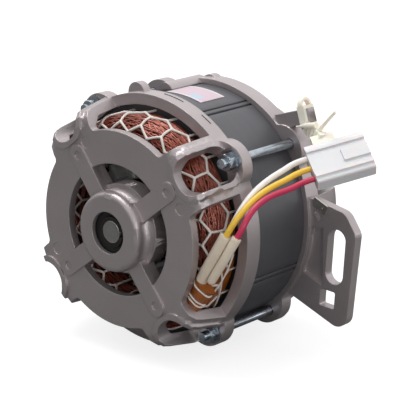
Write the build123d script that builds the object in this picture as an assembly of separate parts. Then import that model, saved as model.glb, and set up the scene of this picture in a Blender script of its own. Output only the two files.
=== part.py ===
from build123d import *
import math
import os

# A washing machine motor: a laminated stator clamped between two open cast end
# shields by four long bolts, with a rotor on two ball bearings inside.
# Lengths are in millimetres. The turned pieces are drawn about a local Z axis:
# local X is across, local Y is up, and local Z runs from the drive shaft's seat,
# at zero, to the front. They are then laid down, so that the axis lies along Y,
# the front faces -Y and Z is up.

# Clearances that several pieces share
OVERRUN = 60.0          # how far a cutting tool reaches past what it cuts
FIT = 0.05              # radial clearance of a slid fit
SEAT_GAP = 0.05         # radial clearance of a bearing seat
LOOSE = 0.3             # clearance where pieces only pass each other

# Stations along the axis
HUB_PROUD = 6.8         # hub face beyond the ring of the shield
SHIELD_DEPTH = 34.4     # ring plane to the rim's edge
STACK_SHOWN = 40.0      # bare stack between the two rims
REGISTER_DEPTH = 4.0    # how far the stack sits inside each rim
REAR_RIM = HUB_PROUD + SHIELD_DEPTH
FRONT_RIM = REAR_RIM + STACK_SHOWN
STACK_FOOT = REAR_RIM - REGISTER_DEPTH
STACK_TOP = FRONT_RIM + REGISTER_DEPTH

# Stator stack
STACK_R = 65.0
YOKE = 12.0             # stack's skin to the foot of a slot
ROTOR_R = 35.5
AIR_GAP = 0.35
STACK_BORE_R = ROTOR_R + AIR_GAP
SLOT_COUNT = 24
SLOT_MOUTH = 2.4
TOOTH_TIP = 1.3
TOOTH_WIDTH = 4.8
SLOT_FOOT_R = STACK_R - YOKE
GROOVE_ANGLES = (65.8, -22.5)
GROOVE_PITCH = 3.6
GROOVE_WIDTH = 1.5
GROOVE_DEEP = 0.9
LINER_WALL = 0.35
LINER_PROUD = 2.5

# End windings: a plain core under one layer of turns
WINDING_START = 3.5     # stack face to the core
WINDING_REACH = 20.0    # stack face to the outermost turn
WINDING_INSET = 7.5     # stack's skin to the outermost turn
WINDING_OUT_R = STACK_R - WINDING_INSET
WINDING_IN_R = 41.0
WIRE = 4.2              # one bundle of enamelled wire
TURN_PITCH = 4.8
CORE_ROUND = 5.0
FRONT_TURNS = 5
REAR_TURNS = 3
WIRE_SIDE_COUNT = 4

# Film over the winding's shoulder
FILM_WALL = 0.4
FILM_ARC = (-40.0, -2.0)

# Cast end shields, from the rim's edge at zero to the hub
RIM_WALL = 3.0
RIM_R = STACK_R + RIM_WALL
RIM_WIDTH = 10.0
CROWN_LEAN = 3.0        # how far the wall leans in, up to the ring plane
CROWN_R = RIM_R - CROWN_LEAN
CROWN_ROUND = 9.0
CROWN_FLAT_COUNT = 3         # flats that stand for the crown's round edge
SHOULDER_STEP = 3.0     # what the stack rests on
SHOULDER_R = STACK_R - SHOULDER_STEP
CROWN_WALL = 5.0
CROWN_IN_R = CROWN_R - CROWN_WALL
CROWN_IN_ROUND = 5.0
RING_THICK = 4.5
RING_IN_R = 35.2
RING_INSET = 12.25      # crown to the windows' inner edge
RING_OUT_R = CROWN_R - RING_INSET
WINDOW_ROUND = 3.0
ARM_ANGLES = (37.0, 127.0, 217.0, 308.0)
ARM_HALF = 16.8
HOLE_HALF = 10.2
HOLE_INSET = 11.0       # crown to the inner end of an arm's hole
HOLE_START_R = CROWN_R - HOLE_INSET
HOLE_FOOT = 7.0
HOLE_ROUND = 9.5
HOLE_FOOT_ROUND = 8.0
LIP_WIDTH = 2.6
LIP_PROUD = 1.1
BOLT_R = 2.5
BOLT_CLEAR = 1.0        # bolt to the stack's skin
BOLT_CIRCLE_R = STACK_R + BOLT_CLEAR + BOLT_R
BOLT_HOLE_PLAY = 0.25
BOLT_HOLE_R = BOLT_R + BOLT_HOLE_PLAY
SPOTFACE_R = 6.6
EAR_R = 13.5
EAR_INSET = 7.0         # bolt circle to the middle of an ear
EAR_CENTRE_R = BOLT_CIRCLE_R - EAR_INSET
EAR_THICK = 7.6

# Hub, bearing housing and spokes
HUB_R = 21.5
HUB_ROUND = 3.0
HUB_FLAT_COUNT = 2
HOUSING_R = 24.0
HOUSING_DEPTH = 14.0    # below the ring plane
HUB_LIP_R = 11.2
HUB_LIP_THICK = 2.5
SPOKE_WIDTH = 10.5
SPOKE_DEPTH = 8.0
RIB_PROUD = 1.0
RIB_END_R = 50.5
DIMPLE_R = 2.3
DIMPLE_DEEP = 0.7
DIMPLE_AT_R = 44.5
MARK_R = 3.2
MARK_DEEP = 0.3
MARK_AT_R = 48.5
MARK_ANGLES = (24.0, 116.5, -156.5)

# Lugs on the top of both rims
LUG_ANGLE = 101.0
LUG_R = 5.8
FRONT_LUG_PROUD = 5.0   # crest beyond the rim
REAR_LUG_PROUD = 1.3
FRONT_LUG_THICK = 4.9
REAR_LUG_REACH = 23.4   # forward over the stack
NUB_ANGLE = 94.5
NUB_WIDTH = 5.0
NUB_PROUD = 1.4

# Post between two arms of the rear shield
POST_ANGLE = 6.0
POST_HALF = 6.2

# Flange cast on the rear shield: across and up from the shaft's axis
FLANGE_FACE = 1.6       # behind the rim's edge
FLANGE_THICK = 5.5
FLANGE_CORNERS = ((60.0, 15.5), (90.5, 9.5), (97.6, -1.0), (92.3, -56.0), (54.0, -41.5))
FLANGE_ROUNDS = (8.0, 6.0, 7.0)
FLANGE_SLOT_AT = (84.9, -15.2)
FLANGE_SLOT_LENGTH = 30.4
FLANGE_SLOT_WIDTH = 11.2
FLANGE_TILT = 86.4
SQUARE_AT = (80.1, -39.2)
SQUARE_SIDE = 9.5
SQUARE_ROUND = 1.0
POCKET_CORNERS = ((66.0, -1.0), (76.5, -1.0), (76.6, -32.7), (64.3, -27.8))
POCKET_OFF = 1.3        # rim to the pocket
POCKET_IN_R = RIM_R + POCKET_OFF
POCKET_DEEP = 2.5
TRIANGLE_CORNERS = ((70.4, 6.4), (73.6, 2.6), (78.4, 9.8), (71.4, 9.0))
TRIANGLE_DEEP = 1.5

# Earth tab riveted to the flange
EARTH_AT = (74.4, 11.0)
EARTH_TILT = -24.0
EARTH_LENGTH = 9.5
EARTH_WIDTH = 4.8
EARTH_THICK = 0.8
EARTH_HOLE_R = 0.9

# Tab on the rear rim that carries the cable clip
TAB_AT = (44.0, 50.9)
TAB_TILT = 17.5
TAB_LENGTH = 23.1
TAB_WIDTH = 7.5
TAB_THICK = 5.0
TAB_BACK = 6.6          # rear face behind the rim's edge

# Ball bearings, the same at both ends
BEARING_R = 16.0
BEARING_BORE_R = 6.0
BEARING_WIDTH = 10.0
SEAL_THICK = 0.8
SEAL_IN_R = 8.4
BALL_COUNT = 7
BALL_D = 5.95
PITCH_R = 11.0
BALL_PLAY = 0.01
BALL_CAGE_WIDE = 1.5
BALL_CAGE_THICK = 3.2

# Wave washer that preloads the front bearing
WASHER_THICK = 0.4
WASHER_RISE = 1.2
WASHER_IN_R = 13.0
WASHER_OUT_R = 15.6
WASHER_WAVE_COUNT = 3

# Shaft
STUB_R = 5.5
STUB_LENGTH = 32.0
CORE_SEAT_R = 8.0
SHAFT_CHAMFER = 0.8
SHAFT_END_GAP = 2.0     # front end behind the hub's face
CLIP_WALL = 1.0
CLIP_R = 8.2
CLIP_GROOVE_R = 5.6
CLIP_SPLIT = 3.0

# Rotor
CAGE_OUT_R = 34.6
CAGE_IN_R = 23.0
CAGE_THICK = 9.0
VANE_COUNT = 12
VANE_IN_R = 25.5
VANE_OUT_R = 33.6
VANE_WIDTH = 2.2
VANE_TALL = 8.0

# Through bolts
BOLT_BEYOND_NUT = 3.0
HEX_FLATS = 8.0
HEAD_TALL = 3.5
NUT_TALL = 4.7
HEX_CHAMFER = 0.5
PLAIN_WASHER_R = 5.6
PLAIN_WASHER_THICK = 1.0

# Lead connector, with its own place: across, along and up
CONNECTOR_AT = (90.4, -45.6, 39.1)
CONNECTOR_TURN = (35.6, -50.1, -21.1)   # about Z, X and Y, in that order
CONNECTOR_LENGTH = 31.0
CONNECTOR_THICK = 8.0
CONNECTOR_TALL = 23.6
CONNECTOR_ROUND = 1.2
CAVITY_COUNT = 3
CAVITY_PITCH = 6.4
CAVITY_WIDE = 5.0
CAVITY_THICK = 4.4
CAVITY_DEEP = 19.0
BLADE_WIDE = 4.0
BLADE_THICK = 0.8
BLADE_SHORT = 2.0       # blade tip inside the mouth
LATCH_LENGTH = 14.0
LATCH_WIDE = 7.0
LATCH_TALL = 2.2
RAIL_WIDE = 1.6
RAIL_TALL = 1.0
RAIL_INSET = 4.0

# Cable clip between the tab and the connector
JAW_WALL = 1.7
JAW_LENGTH = 4.6
JAW_FROM_END = 1.4
LOOP_R = 2.9
LOOP_WALL = 1.3
LOOP_WIDE = 3.0
NECK_THICK = 6.0
NECK_TALL = 7.0
NECK_SLIT_COUNT = 4
SLIT_WIDE = 1.0
SLIT_DEEP = 1.2
FOOT_LENGTH = 12.0
FOOT_TALL = 5.5
FOOT_THICK = 5.0
FOOT_OFF = -4.0         # along the connector, from its middle

# Bare label plate on the stack
LABEL_ANGLE = 84.6
LABEL_SPAN = 21.0
LABEL_LENGTH = 19.0
LABEL_FROM_REAR = 10.0
LABEL_THICK = 0.3

# Leads and their sleeves. The points were chosen by hand.
LEAD_R = 1.55
LEAD_SIDE_COUNT = 6
LEAD_STEP = 6.0         # straight out of the connector
RUN_SHARE = 0.45        # of the shorter run, taken by each bend
WHITE_ROUTE = (
    (72.0, -68.2, 35.3), (70.4, -76.2, 32.7), (69.3, -84.3, 29.3),
    (68.6, -91.3, 25.1), (67.9, -97.1, 19.7),
)
YELLOW_ROUTE = (
    (76.6, -71.3, 31.9), (74.3, -80.1, 29.6), (72.6, -88.4, 26.6),
    (71.4, -95.8, 22.4), (70.1, -101.5, 17.4),
)
RED_ROUTE = (
    (80.2, -72.9, 27.9), (77.1, -81.6, 26.5), (75.2, -89.5, 24.1),
    (74.4, -95.7, 20.5), (74.1, -100.1, 16.1),
)
WIDE_SLEEVE_ROUTE = (
    (65.3, -104.6, 7.8), (62.8, -106.6, 1.9), (59.3, -107.4, -4.7),
    (55.1, -107.5, -11.6), (50.7, -107.5, -19.0),
)
NARROW_SLEEVE_ROUTE = (
    (71.5, -103.9, 7.6), (69.1, -106.1, 1.7), (66.0, -107.4, -4.6),
    (61.9, -107.8, -11.2), (58.4, -108.6, -17.3),
)
WIDE_SLEEVE_R = 3.3
NARROW_SLEEVE_R = 2.4
SLEEVE_SIDE_COUNT = 10
LEAD_SPREAD = 1.65      # of two leads from the middle of the wide sleeve's mouth
SPREAD_DIRECTION = (0.54, -0.84, 0.06)


BASE = (Align.CENTER, Align.CENTER, Align.MIN)


def laid(shape):
    """Turns a piece from its own axis to the motor's axis along Y."""
    return Rot(90, 0, 0) * shape


def turned(*points):
    """A solid of revolution from its half section, as radius and height."""
    return revolve(Plane.XZ * make_face(Polyline(*points, close=True)), Axis.Z)


def disc(radius, bottom, top):
    return Pos(0, 0, bottom) * Cylinder(radius, top - bottom, align=BASE)


def tube(outer, inner, bottom, top):
    return disc(outer, bottom, top) - disc(inner, bottom, top)


def around(count, shape):
    return [Rot(0, 0, 360 / count * k) * shape for k in range(count)]


def polygon(points):
    return make_face(Polyline(*points, close=True))


def flats(centre, radius, count):
    """Points on a quarter round from across to up, joined by so many flats."""
    angles = [math.pi / 2 * k / count for k in range(count + 1)]
    return [(centre[0] + radius * math.cos(a), centre[1] + radius * math.sin(a)) for a in angles]


def rounded(face, corner, radius):
    """Rounds one corner of a flat face."""
    return fillet(face.vertices().sort_by_distance(Vector(*corner))[0], radius)


# Stator stack, its slots and what fills them

def slot_plan(inset):
    """One slot between parallel teeth, drawn across the stack and drawn in all round."""
    near = STACK_BORE_R + TOOTH_TIP + inset
    far = SLOT_FOOT_R - inset
    lean = math.tan(math.pi / SLOT_COUNT)
    half_near = near * lean - TOOTH_WIDTH / 2 - inset
    half_far = far * lean - TOOTH_WIDTH / 2 - inset
    return polygon([(near, -half_near), (far, -half_far), (far, half_far), (near, half_near)])


def stator_stack():
    mouth = Pos(STACK_BORE_R, 0) * Rectangle(4 * TOOTH_TIP, SLOT_MOUTH)
    plan = Circle(STACK_R) - Circle(STACK_BORE_R)
    plan = plan - around(SLOT_COUNT, slot_plan(0)) - around(SLOT_COUNT, mouth)
    groove = Pos(STACK_R, 0) * Rectangle(2 * GROOVE_DEEP, GROOVE_WIDTH)
    for angle in GROOVE_ANGLES:
        for side in (-1, 1):
            plan -= Rot(0, 0, angle) * Pos(0, side * GROOVE_PITCH / 2) * groove
    return Pos(0, 0, STACK_FOOT) * extrude(plan, STACK_TOP - STACK_FOOT)


def slot_liners():
    """Insulating paper that lines each slot and stands out of both ends."""
    plan = slot_plan(FIT) - slot_plan(FIT + LINER_WALL)
    length = STACK_TOP - STACK_FOOT + 2 * LINER_PROUD
    liner = Pos(0, 0, STACK_FOOT - LINER_PROUD) * extrude(plan, length)
    return Compound(around(SLOT_COUNT, liner))


def slot_windings():
    """The straight sides of the coils, from one end winding to the other."""
    plan = slot_plan(2 * FIT + LINER_WALL)
    bottom = STACK_FOOT - WINDING_START
    side = Pos(0, 0, bottom) * extrude(plan, STACK_TOP + WINDING_START - bottom)
    return Compound(around(SLOT_COUNT, side))


def winding_core():
    """The bundle of coil ends under its outer turns, standing on zero, one flat a slot."""
    top = WINDING_REACH - WINDING_START - WIRE
    outer = WINDING_OUT_R - WIRE
    rim = RegularPolygon(outer, SLOT_COUNT) - RegularPolygon(WINDING_IN_R, SLOT_COUNT)
    shoulder = RegularPolygon(outer, SLOT_COUNT)
    narrow = Pos(0, 0, CORE_ROUND) * RegularPolygon(outer - CORE_ROUND, SLOT_COUNT)
    bottom = extrude(rim, top - CORE_ROUND)
    cap = loft([shoulder, narrow], ruled=True) - extrude(RegularPolygon(WINDING_IN_R, SLOT_COUNT), top)
    return bottom + Pos(0, 0, top - CORE_ROUND) * cap


def winding_place(turn):
    """A point of the turns: up the outer wall, over the shoulder and in across the end."""
    bend = CORE_ROUND + WIRE / 2
    wall = WINDING_REACH - WINDING_START - WIRE / 2 - bend - WIRE / 2
    run = turn * TURN_PITCH
    arc = bend * math.pi / 2
    edge = WINDING_OUT_R - WIRE / 2 + FIT
    if run < wall:
        radius, height = edge, WIRE / 2 + run
    elif run < wall + arc:
        angle = (run - wall) / bend
        radius = edge - bend * (1 - math.cos(angle))
        height = WIRE / 2 + wall + bend * math.sin(angle)
    else:
        radius, height = edge - bend - (run - wall - arc), WIRE / 2 + wall + bend
    angle = 2 * math.pi * turn
    return Vector(radius * math.cos(angle), radius * math.sin(angle), height + FIT)


def winding_heading(turn):
    step = 1e-4
    return (winding_place(turn + step) - winding_place(turn - step)).normalized()


def biarc(start, start_way, end, end_way):
    """Two arcs from one point and direction to another."""
    span = end - start
    both = start_way + end_way
    bend = 2 * (1 - start_way.dot(end_way))
    reach = (math.sqrt(span.dot(both) ** 2 + bend * span.dot(span)) - span.dot(both)) / bend
    middle = (start + end + (start_way - end_way) * reach) / 2
    return [TangentArc(start, middle, tangent=start_way), TangentArc(end, middle, tangent=end_way * -1)]


def winding_turns(turns):
    """The outer layer: one unbroken bundle of wire, swept on two arcs a quarter turn."""
    first = winding_place(0)
    last = winding_place(turns)
    path = [Line(first - winding_heading(0) * WIRE, first)]
    for quarter in range(4 * turns):
        a, b = quarter / 4, (quarter + 1) / 4
        path += biarc(winding_place(a), winding_heading(a), winding_place(b), winding_heading(b))
    path.append(Line(last, last + winding_heading(turns) * WIRE))
    wire = Wire([edge.edge() for edge in path])
    section = Plane(origin=wire @ 0, z_dir=wire % 0) * RegularPolygon(WIRE / 2, WIRE_SIDE_COUNT)
    return sweep(section, wire)


def winding_least_gap(turns):
    """The least gap between neighbouring turns, measured on points."""
    steps = 48
    points = [winding_place(k / steps) for k in range(turns * steps + 1)]
    least = min((a - b).length for i, a in enumerate(points) for b in points[i + steps // 2:])
    return least - WIRE


def insulation_film():
    """Film laid over the winding's outer wall, where the leads leave it."""
    inner = WINDING_OUT_R + 2 * FIT
    bottom = STACK_TOP + WINDING_START
    top = STACK_TOP + WINDING_REACH - CORE_ROUND
    band = tube(inner + FILM_WALL, inner, bottom, top)
    start, end = FILM_ARC
    wedge = [(0, 0)]
    for angle in (start, (start + end) / 2, end):
        reach = 2 * inner
        wedge.append((reach * math.cos(math.radians(angle)), reach * math.sin(math.radians(angle))))
    return band & Pos(0, 0, bottom) * extrude(polygon(wedge), top - bottom)


# Cast end shields, drawn with the rim's edge at zero and the hub upwards

def bell_section(grow):
    """Half section of the shield's outer form, filled inside, and grown by so much."""
    top = SHIELD_DEPTH + grow
    crown = flats((CROWN_R + grow - CROWN_ROUND, top - CROWN_ROUND), CROWN_ROUND, CROWN_FLAT_COUNT)
    return polygon([(RING_IN_R, 0), (RIM_R + grow, 0), (RIM_R + grow, RIM_WIDTH), *crown, (RING_IN_R, top)])


def bell_cavity():
    """The space inside the shield: the stack's register, its shoulder and the bell."""
    top = SHIELD_DEPTH - RING_THICK
    return turned(
        (0, 0), (STACK_R + FIT, 0), (STACK_R + FIT, REGISTER_DEPTH), (SHOULDER_R, REGISTER_DEPTH),
        (SHOULDER_R, RIM_WIDTH), (CROWN_IN_R, top - CROWN_IN_ROUND), (CROWN_IN_R - CROWN_IN_ROUND, top),
        (0, top),
    )


def arm_prism(grow):
    """The form of an arm's hole, along X, grown all round."""
    start = HOLE_START_R - grow
    foot = HOLE_FOOT - grow
    half = HOLE_HALF + grow
    plan = polygon([(start, -half), (start + OVERRUN, -half), (start + OVERRUN, half), (start, half)])
    for side in (-1, 1):
        plan = rounded(plan, (start, side * half), HOLE_ROUND)
    side_view = polygon([(-half, foot), (half, foot), (half, foot + OVERRUN), (-half, foot + OVERRUN)])
    for side in (-1, 1):
        side_view = rounded(side_view, (side * half, foot), HOLE_FOOT_ROUND)
    tall = extrude(plan, 2 * OVERRUN)
    return tall & extrude(Plane.YZ * side_view, 3 * OVERRUN)


def arms(shape):
    return [Rot(0, 0, angle) * shape for angle in ARM_ANGLES]


def window_cut(strips):
    """What is cut away between the arms and any further upright strips."""
    plan = Circle(RIM_R + OVERRUN) - Circle(RING_OUT_R)
    for angle, half in strips:
        plan -= Rot(0, 0, angle) * Pos(OVERRUN, 0) * Rectangle(2 * OVERRUN, 2 * half)
        plan -= Rot(0, 0, angle) * Pos(2 * OVERRUN, 0) * Rectangle(2 * OVERRUN, 2 * half)
    inner = [v for v in plan.vertices() if v.center().length < RING_OUT_R + WINDOW_ROUND]
    plan = fillet(inner, WINDOW_ROUND)
    return Pos(0, 0, RIM_WIDTH) * extrude(plan, SHIELD_DEPTH)


def hub():
    """Hub and bearing housing, with the lip that holds the bearing in."""
    top = SHIELD_DEPTH + HUB_PROUD
    step = SHIELD_DEPTH - SPOKE_DEPTH / 2
    foot = SHIELD_DEPTH - HOUSING_DEPTH
    edge = flats((HUB_R - HUB_ROUND, top - HUB_ROUND), HUB_ROUND, HUB_FLAT_COUNT)
    return turned(
        (HUB_LIP_R, top), *reversed(edge), (HUB_R, step), (HOUSING_R, step), (HOUSING_R, foot),
        (BEARING_R + SEAT_GAP, foot), (BEARING_R + SEAT_GAP, top - HUB_LIP_THICK),
        (HUB_LIP_R, top - HUB_LIP_THICK),
    )


def spoke():
    """A spoke from the hub to the ring, with its rib over the ring."""
    inner = (BEARING_R + HUB_R) / 2
    bar = Pos((inner + RING_IN_R + RIB_PROUD) / 2, 0, SHIELD_DEPTH - SPOKE_DEPTH)
    bar *= Box(RING_IN_R + RIB_PROUD - inner, SPOKE_WIDTH, SPOKE_DEPTH + RIB_PROUD, align=BASE)
    length = RIB_END_R + SPOKE_WIDTH / 2 - RING_IN_R
    rib = Pos((RING_IN_R + RIB_END_R - SPOKE_WIDTH / 2) / 2, 0, SHIELD_DEPTH - RIB_PROUD)
    rib *= Box(length - SPOKE_WIDTH, SPOKE_WIDTH, 2 * RIB_PROUD, align=BASE)
    tip = Pos(RIB_END_R - SPOKE_WIDTH / 2, 0, SHIELD_DEPTH - RIB_PROUD)
    tip *= Cylinder(SPOKE_WIDTH / 2, 2 * RIB_PROUD, align=BASE)
    return bar + rib + tip


def end_shield(strips, extras):
    """The form that both shields share, with what each one adds."""
    bell = revolve(Plane.XZ * bell_section(0), Axis.Z)
    skin = revolve(Plane.XZ * bell_section(LIP_PROUD), Axis.Z)
    ear = Pos(EAR_CENTRE_R, 0, 0) * Cylinder(EAR_R, EAR_THICK, align=BASE)
    bell += arms(ear)
    bell += extras
    bell -= bell_cavity()
    bell -= window_cut(strips)
    lips = (skin - bell_cavity()) & Compound(arms(arm_prism(LIP_WIDTH)))
    bell += lips.solids()
    bolt_hole = Pos(BOLT_CIRCLE_R, 0, -OVERRUN) * Cylinder(BOLT_HOLE_R, 2 * OVERRUN, align=BASE)
    spotface = Pos(BOLT_CIRCLE_R, 0, HOLE_FOOT) * Cylinder(SPOTFACE_R, OVERRUN, align=BASE)
    bell -= arms(arm_prism(0)) + arms(bolt_hole) + arms(spotface)
    bell += [hub()] + arms(spoke())
    dimple = Pos(DIMPLE_AT_R, 0, SHIELD_DEPTH + RIB_PROUD - DIMPLE_DEEP)
    dimple *= Cylinder(DIMPLE_R, OVERRUN, align=BASE)
    bell -= arms(dimple)
    mark = Pos(MARK_AT_R, 0, SHIELD_DEPTH - MARK_DEEP) * Cylinder(MARK_R, OVERRUN, align=BASE)
    return bell - [Rot(0, 0, angle) * mark for angle in MARK_ANGLES]


def arm_strips():
    return [(angle, ARM_HALF) for angle in ARM_ANGLES]


def lug(angle, proud, bottom, top):
    """A half round boss on the rim, left clear of the stack."""
    boss = Rot(0, 0, angle) * Pos(RIM_R + proud - LUG_R, 0, bottom)
    boss *= Cylinder(LUG_R, top - bottom, align=BASE)
    return boss - disc(STACK_R + LOOSE, bottom, top)


def front_shield():
    shield = end_shield(arm_strips(), [lug(LUG_ANGLE, FRONT_LUG_PROUD, 0, FRONT_LUG_THICK)])
    return Pos(0, 0, FRONT_RIM) * shield


def flange_plate():
    """The mounting flange, square to the shaft, with its slot, square hole and pockets."""
    plan = polygon(FLANGE_CORNERS)
    for corner, radius in zip(FLANGE_CORNERS[1:4], FLANGE_ROUNDS):
        plan = rounded(plan, corner, radius)
    slot = Pos(*FLANGE_SLOT_AT) * Rot(0, 0, FLANGE_TILT)
    plan -= slot * SlotOverall(FLANGE_SLOT_LENGTH, FLANGE_SLOT_WIDTH)
    square = RectangleRounded(SQUARE_SIDE, SQUARE_SIDE, SQUARE_ROUND)
    plan -= Pos(*SQUARE_AT) * Rot(0, 0, FLANGE_TILT) * square
    plate = Pos(0, 0, FLANGE_FACE) * extrude(plan, FLANGE_THICK)
    pocket = polygon(POCKET_CORNERS) - Circle(POCKET_IN_R)
    plate -= Pos(0, 0, FLANGE_FACE) * extrude(pocket, POCKET_DEEP)
    triangle = extrude(polygon(TRIANGLE_CORNERS), TRIANGLE_DEEP)
    return plate - Pos(0, 0, FLANGE_FACE) * triangle


def clip_tab():
    plan = Pos(*TAB_AT) * Rot(0, 0, TAB_TILT) * Pos(TAB_LENGTH / 2, 0)
    plan *= Rectangle(TAB_LENGTH, TAB_WIDTH)
    return Pos(0, 0, TAB_BACK - TAB_THICK) * extrude(plan, TAB_THICK)


def rear_shield():
    nub = lug(NUB_ANGLE, NUB_PROUD, RIM_WIDTH - NUB_WIDTH, RIM_WIDTH)
    long_lug = lug(LUG_ANGLE, REAR_LUG_PROUD, -REAR_LUG_REACH, RIM_WIDTH - NUB_WIDTH)
    extras = [flange_plate(), clip_tab(), nub, long_lug]
    shield = end_shield(arm_strips() + [(POST_ANGLE, POST_HALF)], extras)
    return Pos(0, 0, REAR_RIM) * mirror(shield, Plane.XY)


# Bearings, at the same place in each hub

def bearing_outer_ring():
    """Outer ring with its two seals, standing on zero. Its race is plain, for the seals hide it."""
    inside = BEARING_WIDTH - SEAL_THICK
    half_flat = BALL_D * math.tan(math.pi / 8) / 2
    race = math.hypot(PITCH_R + BALL_D / 2, half_flat) + BALL_PLAY
    return turned(
        (SEAL_IN_R, 0), (BEARING_R, 0), (BEARING_R, BEARING_WIDTH), (SEAL_IN_R, BEARING_WIDTH),
        (SEAL_IN_R, inside), (race, inside), (race, SEAL_THICK), (SEAL_IN_R, SEAL_THICK),
    )


def bearing_inner_ring():
    return tube(PITCH_R - BALL_D / 2 - BALL_PLAY, BEARING_BORE_R + FIT, 0, BEARING_WIDTH)


def ball_set():
    """Seven balls in one cage, which is straight from ball to ball. Each ball is cut in 26 flats."""
    ball = Box(BALL_D, BALL_D, BALL_D)
    ball = chamfer(ball.edges(), BALL_D * (1 - math.tan(math.pi / 8)) / 2)
    plan = RegularPolygon(PITCH_R + BALL_CAGE_WIDE / 2, BALL_COUNT)
    plan -= RegularPolygon(PITCH_R - BALL_CAGE_WIDE / 2, BALL_COUNT)
    cage = Pos(0, 0, -BALL_CAGE_THICK / 2) * extrude(plan, BALL_CAGE_THICK)
    balls = around(BALL_COUNT, Pos(PITCH_R, 0, 0) * ball)
    return Pos(0, 0, BEARING_WIDTH / 2) * (cage + balls)


REAR_BEARING = HUB_LIP_THICK
FRONT_BEARING = FRONT_RIM + SHIELD_DEPTH + HUB_PROUD - HUB_LIP_THICK - WASHER_RISE - BEARING_WIDTH


def wave_washer():
    """A spring washer between the front bearing and the hub's lip, with three waves."""
    low = FRONT_BEARING + BEARING_WIDTH
    hollow = WASHER_RISE - WASHER_THICK
    wave = tube(WASHER_OUT_R, WASHER_IN_R, low, low + WASHER_RISE)
    span = WASHER_OUT_R * math.sin(math.pi / WASHER_WAVE_COUNT)
    below = polygon([(-span, 0), (span, 0), (0, hollow)])
    above = polygon([(-span, WASHER_RISE), (0, WASHER_THICK), (span, WASHER_RISE)])
    half = 180 / WASHER_WAVE_COUNT
    for k in range(WASHER_WAVE_COUNT):
        wave -= Pos(0, 0, low) * Rot(0, 0, 2 * half * k) * extrude(Plane.YZ * below, OVERRUN)
        wave -= Pos(0, 0, low) * Rot(0, 0, 2 * half * k + half) * extrude(Plane.YZ * above, OVERRUN)
    return wave


# Rotor

def shaft():
    """Round drive stub, two bearing journals and the seat of the core."""
    front = FRONT_RIM + SHIELD_DEPTH + HUB_PROUD - SHAFT_END_GAP
    journal = BEARING_BORE_R
    groove = FRONT_BEARING + BEARING_WIDTH
    return turned(
        (0, -STUB_LENGTH), (STUB_R - SHAFT_CHAMFER, -STUB_LENGTH),
        (STUB_R, SHAFT_CHAMFER - STUB_LENGTH), (STUB_R, 0), (journal, 0),
        (journal, REAR_BEARING + BEARING_WIDTH), (CORE_SEAT_R, REAR_BEARING + BEARING_WIDTH),
        (CORE_SEAT_R, FRONT_BEARING), (journal, FRONT_BEARING),
        (journal, groove), (CLIP_GROOVE_R, groove), (CLIP_GROOVE_R, groove + CLIP_WALL),
        (journal, groove + CLIP_WALL), (journal, front - SHAFT_CHAMFER),
        (journal - SHAFT_CHAMFER, front), (0, front),
    )


def retaining_ring():
    low = FRONT_BEARING + BEARING_WIDTH
    ring = tube(CLIP_R, CLIP_GROOVE_R + FIT, low, low + CLIP_WALL)
    split = Pos(CLIP_R, 0, low) * Box(2 * CLIP_SPLIT, CLIP_SPLIT, CLIP_WALL, align=BASE)
    return ring - split


def rotor_core():
    return tube(ROTOR_R, CORE_SEAT_R + FIT, STACK_FOOT, STACK_TOP)


def rotor_cage(at, way):
    """One cast end ring of the rotor with its fan vanes, standing out along Z."""
    ring = tube(CAGE_OUT_R, CAGE_IN_R, 0, CAGE_THICK)
    vane = Pos((VANE_IN_R + VANE_OUT_R) / 2, 0, 0)
    vane *= Box(VANE_OUT_R - VANE_IN_R, VANE_WIDTH, CAGE_THICK + VANE_TALL, align=BASE)
    ring += around(VANE_COUNT, vane)
    return Pos(0, 0, at) * (ring if way > 0 else mirror(ring, Plane.XY))


# Through bolts, nuts and washers

def hexagon(height):
    """A hexagon with its top corners turned off."""
    blank = extrude(RegularPolygon(HEX_FLATS / 2, 6, major_radius=False), height)
    edge = HEX_FLATS / 2
    corner = edge / math.cos(math.pi / 6)
    return blank & turned((0, 0), (corner, 0), (corner, height - HEX_CHAMFER), (edge, height), (0, height))


def at_bolts(shape):
    return Compound([Rot(0, 0, angle) * Pos(BOLT_CIRCLE_R, 0, 0) * shape for angle in ARM_ANGLES])


HEAD_SEAT = REAR_RIM - HOLE_FOOT
NUT_SEAT = FRONT_RIM + HOLE_FOOT + PLAIN_WASHER_THICK


def through_bolts():
    end = NUT_SEAT + NUT_TALL + BOLT_BEYOND_NUT
    head = Pos(0, 0, HEAD_SEAT) * mirror(hexagon(HEAD_TALL), Plane.XY)
    return at_bolts(head + disc(BOLT_R, HEAD_SEAT, end))


def bolt_nuts():
    nut = Pos(0, 0, NUT_SEAT) * (hexagon(NUT_TALL) - disc(BOLT_R + FIT, 0, NUT_TALL))
    return at_bolts(nut)


def bolt_washers():
    return at_bolts(tube(PLAIN_WASHER_R, BOLT_R + 2 * FIT, NUT_SEAT - PLAIN_WASHER_THICK, NUT_SEAT))


# Connector, clip, leads and small parts, drawn where they lie

ABOUT_Z, ABOUT_X, ABOUT_Y = CONNECTOR_TURN
CONNECTOR = Pos(*CONNECTOR_AT) * Rot(0, 0, ABOUT_Z) * Rot(ABOUT_X, 0, 0) * Rot(0, ABOUT_Y, 0)


def cavity_offsets():
    return [(k - (CAVITY_COUNT - 1) / 2) * CAVITY_PITCH for k in range(CAVITY_COUNT)]


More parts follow.
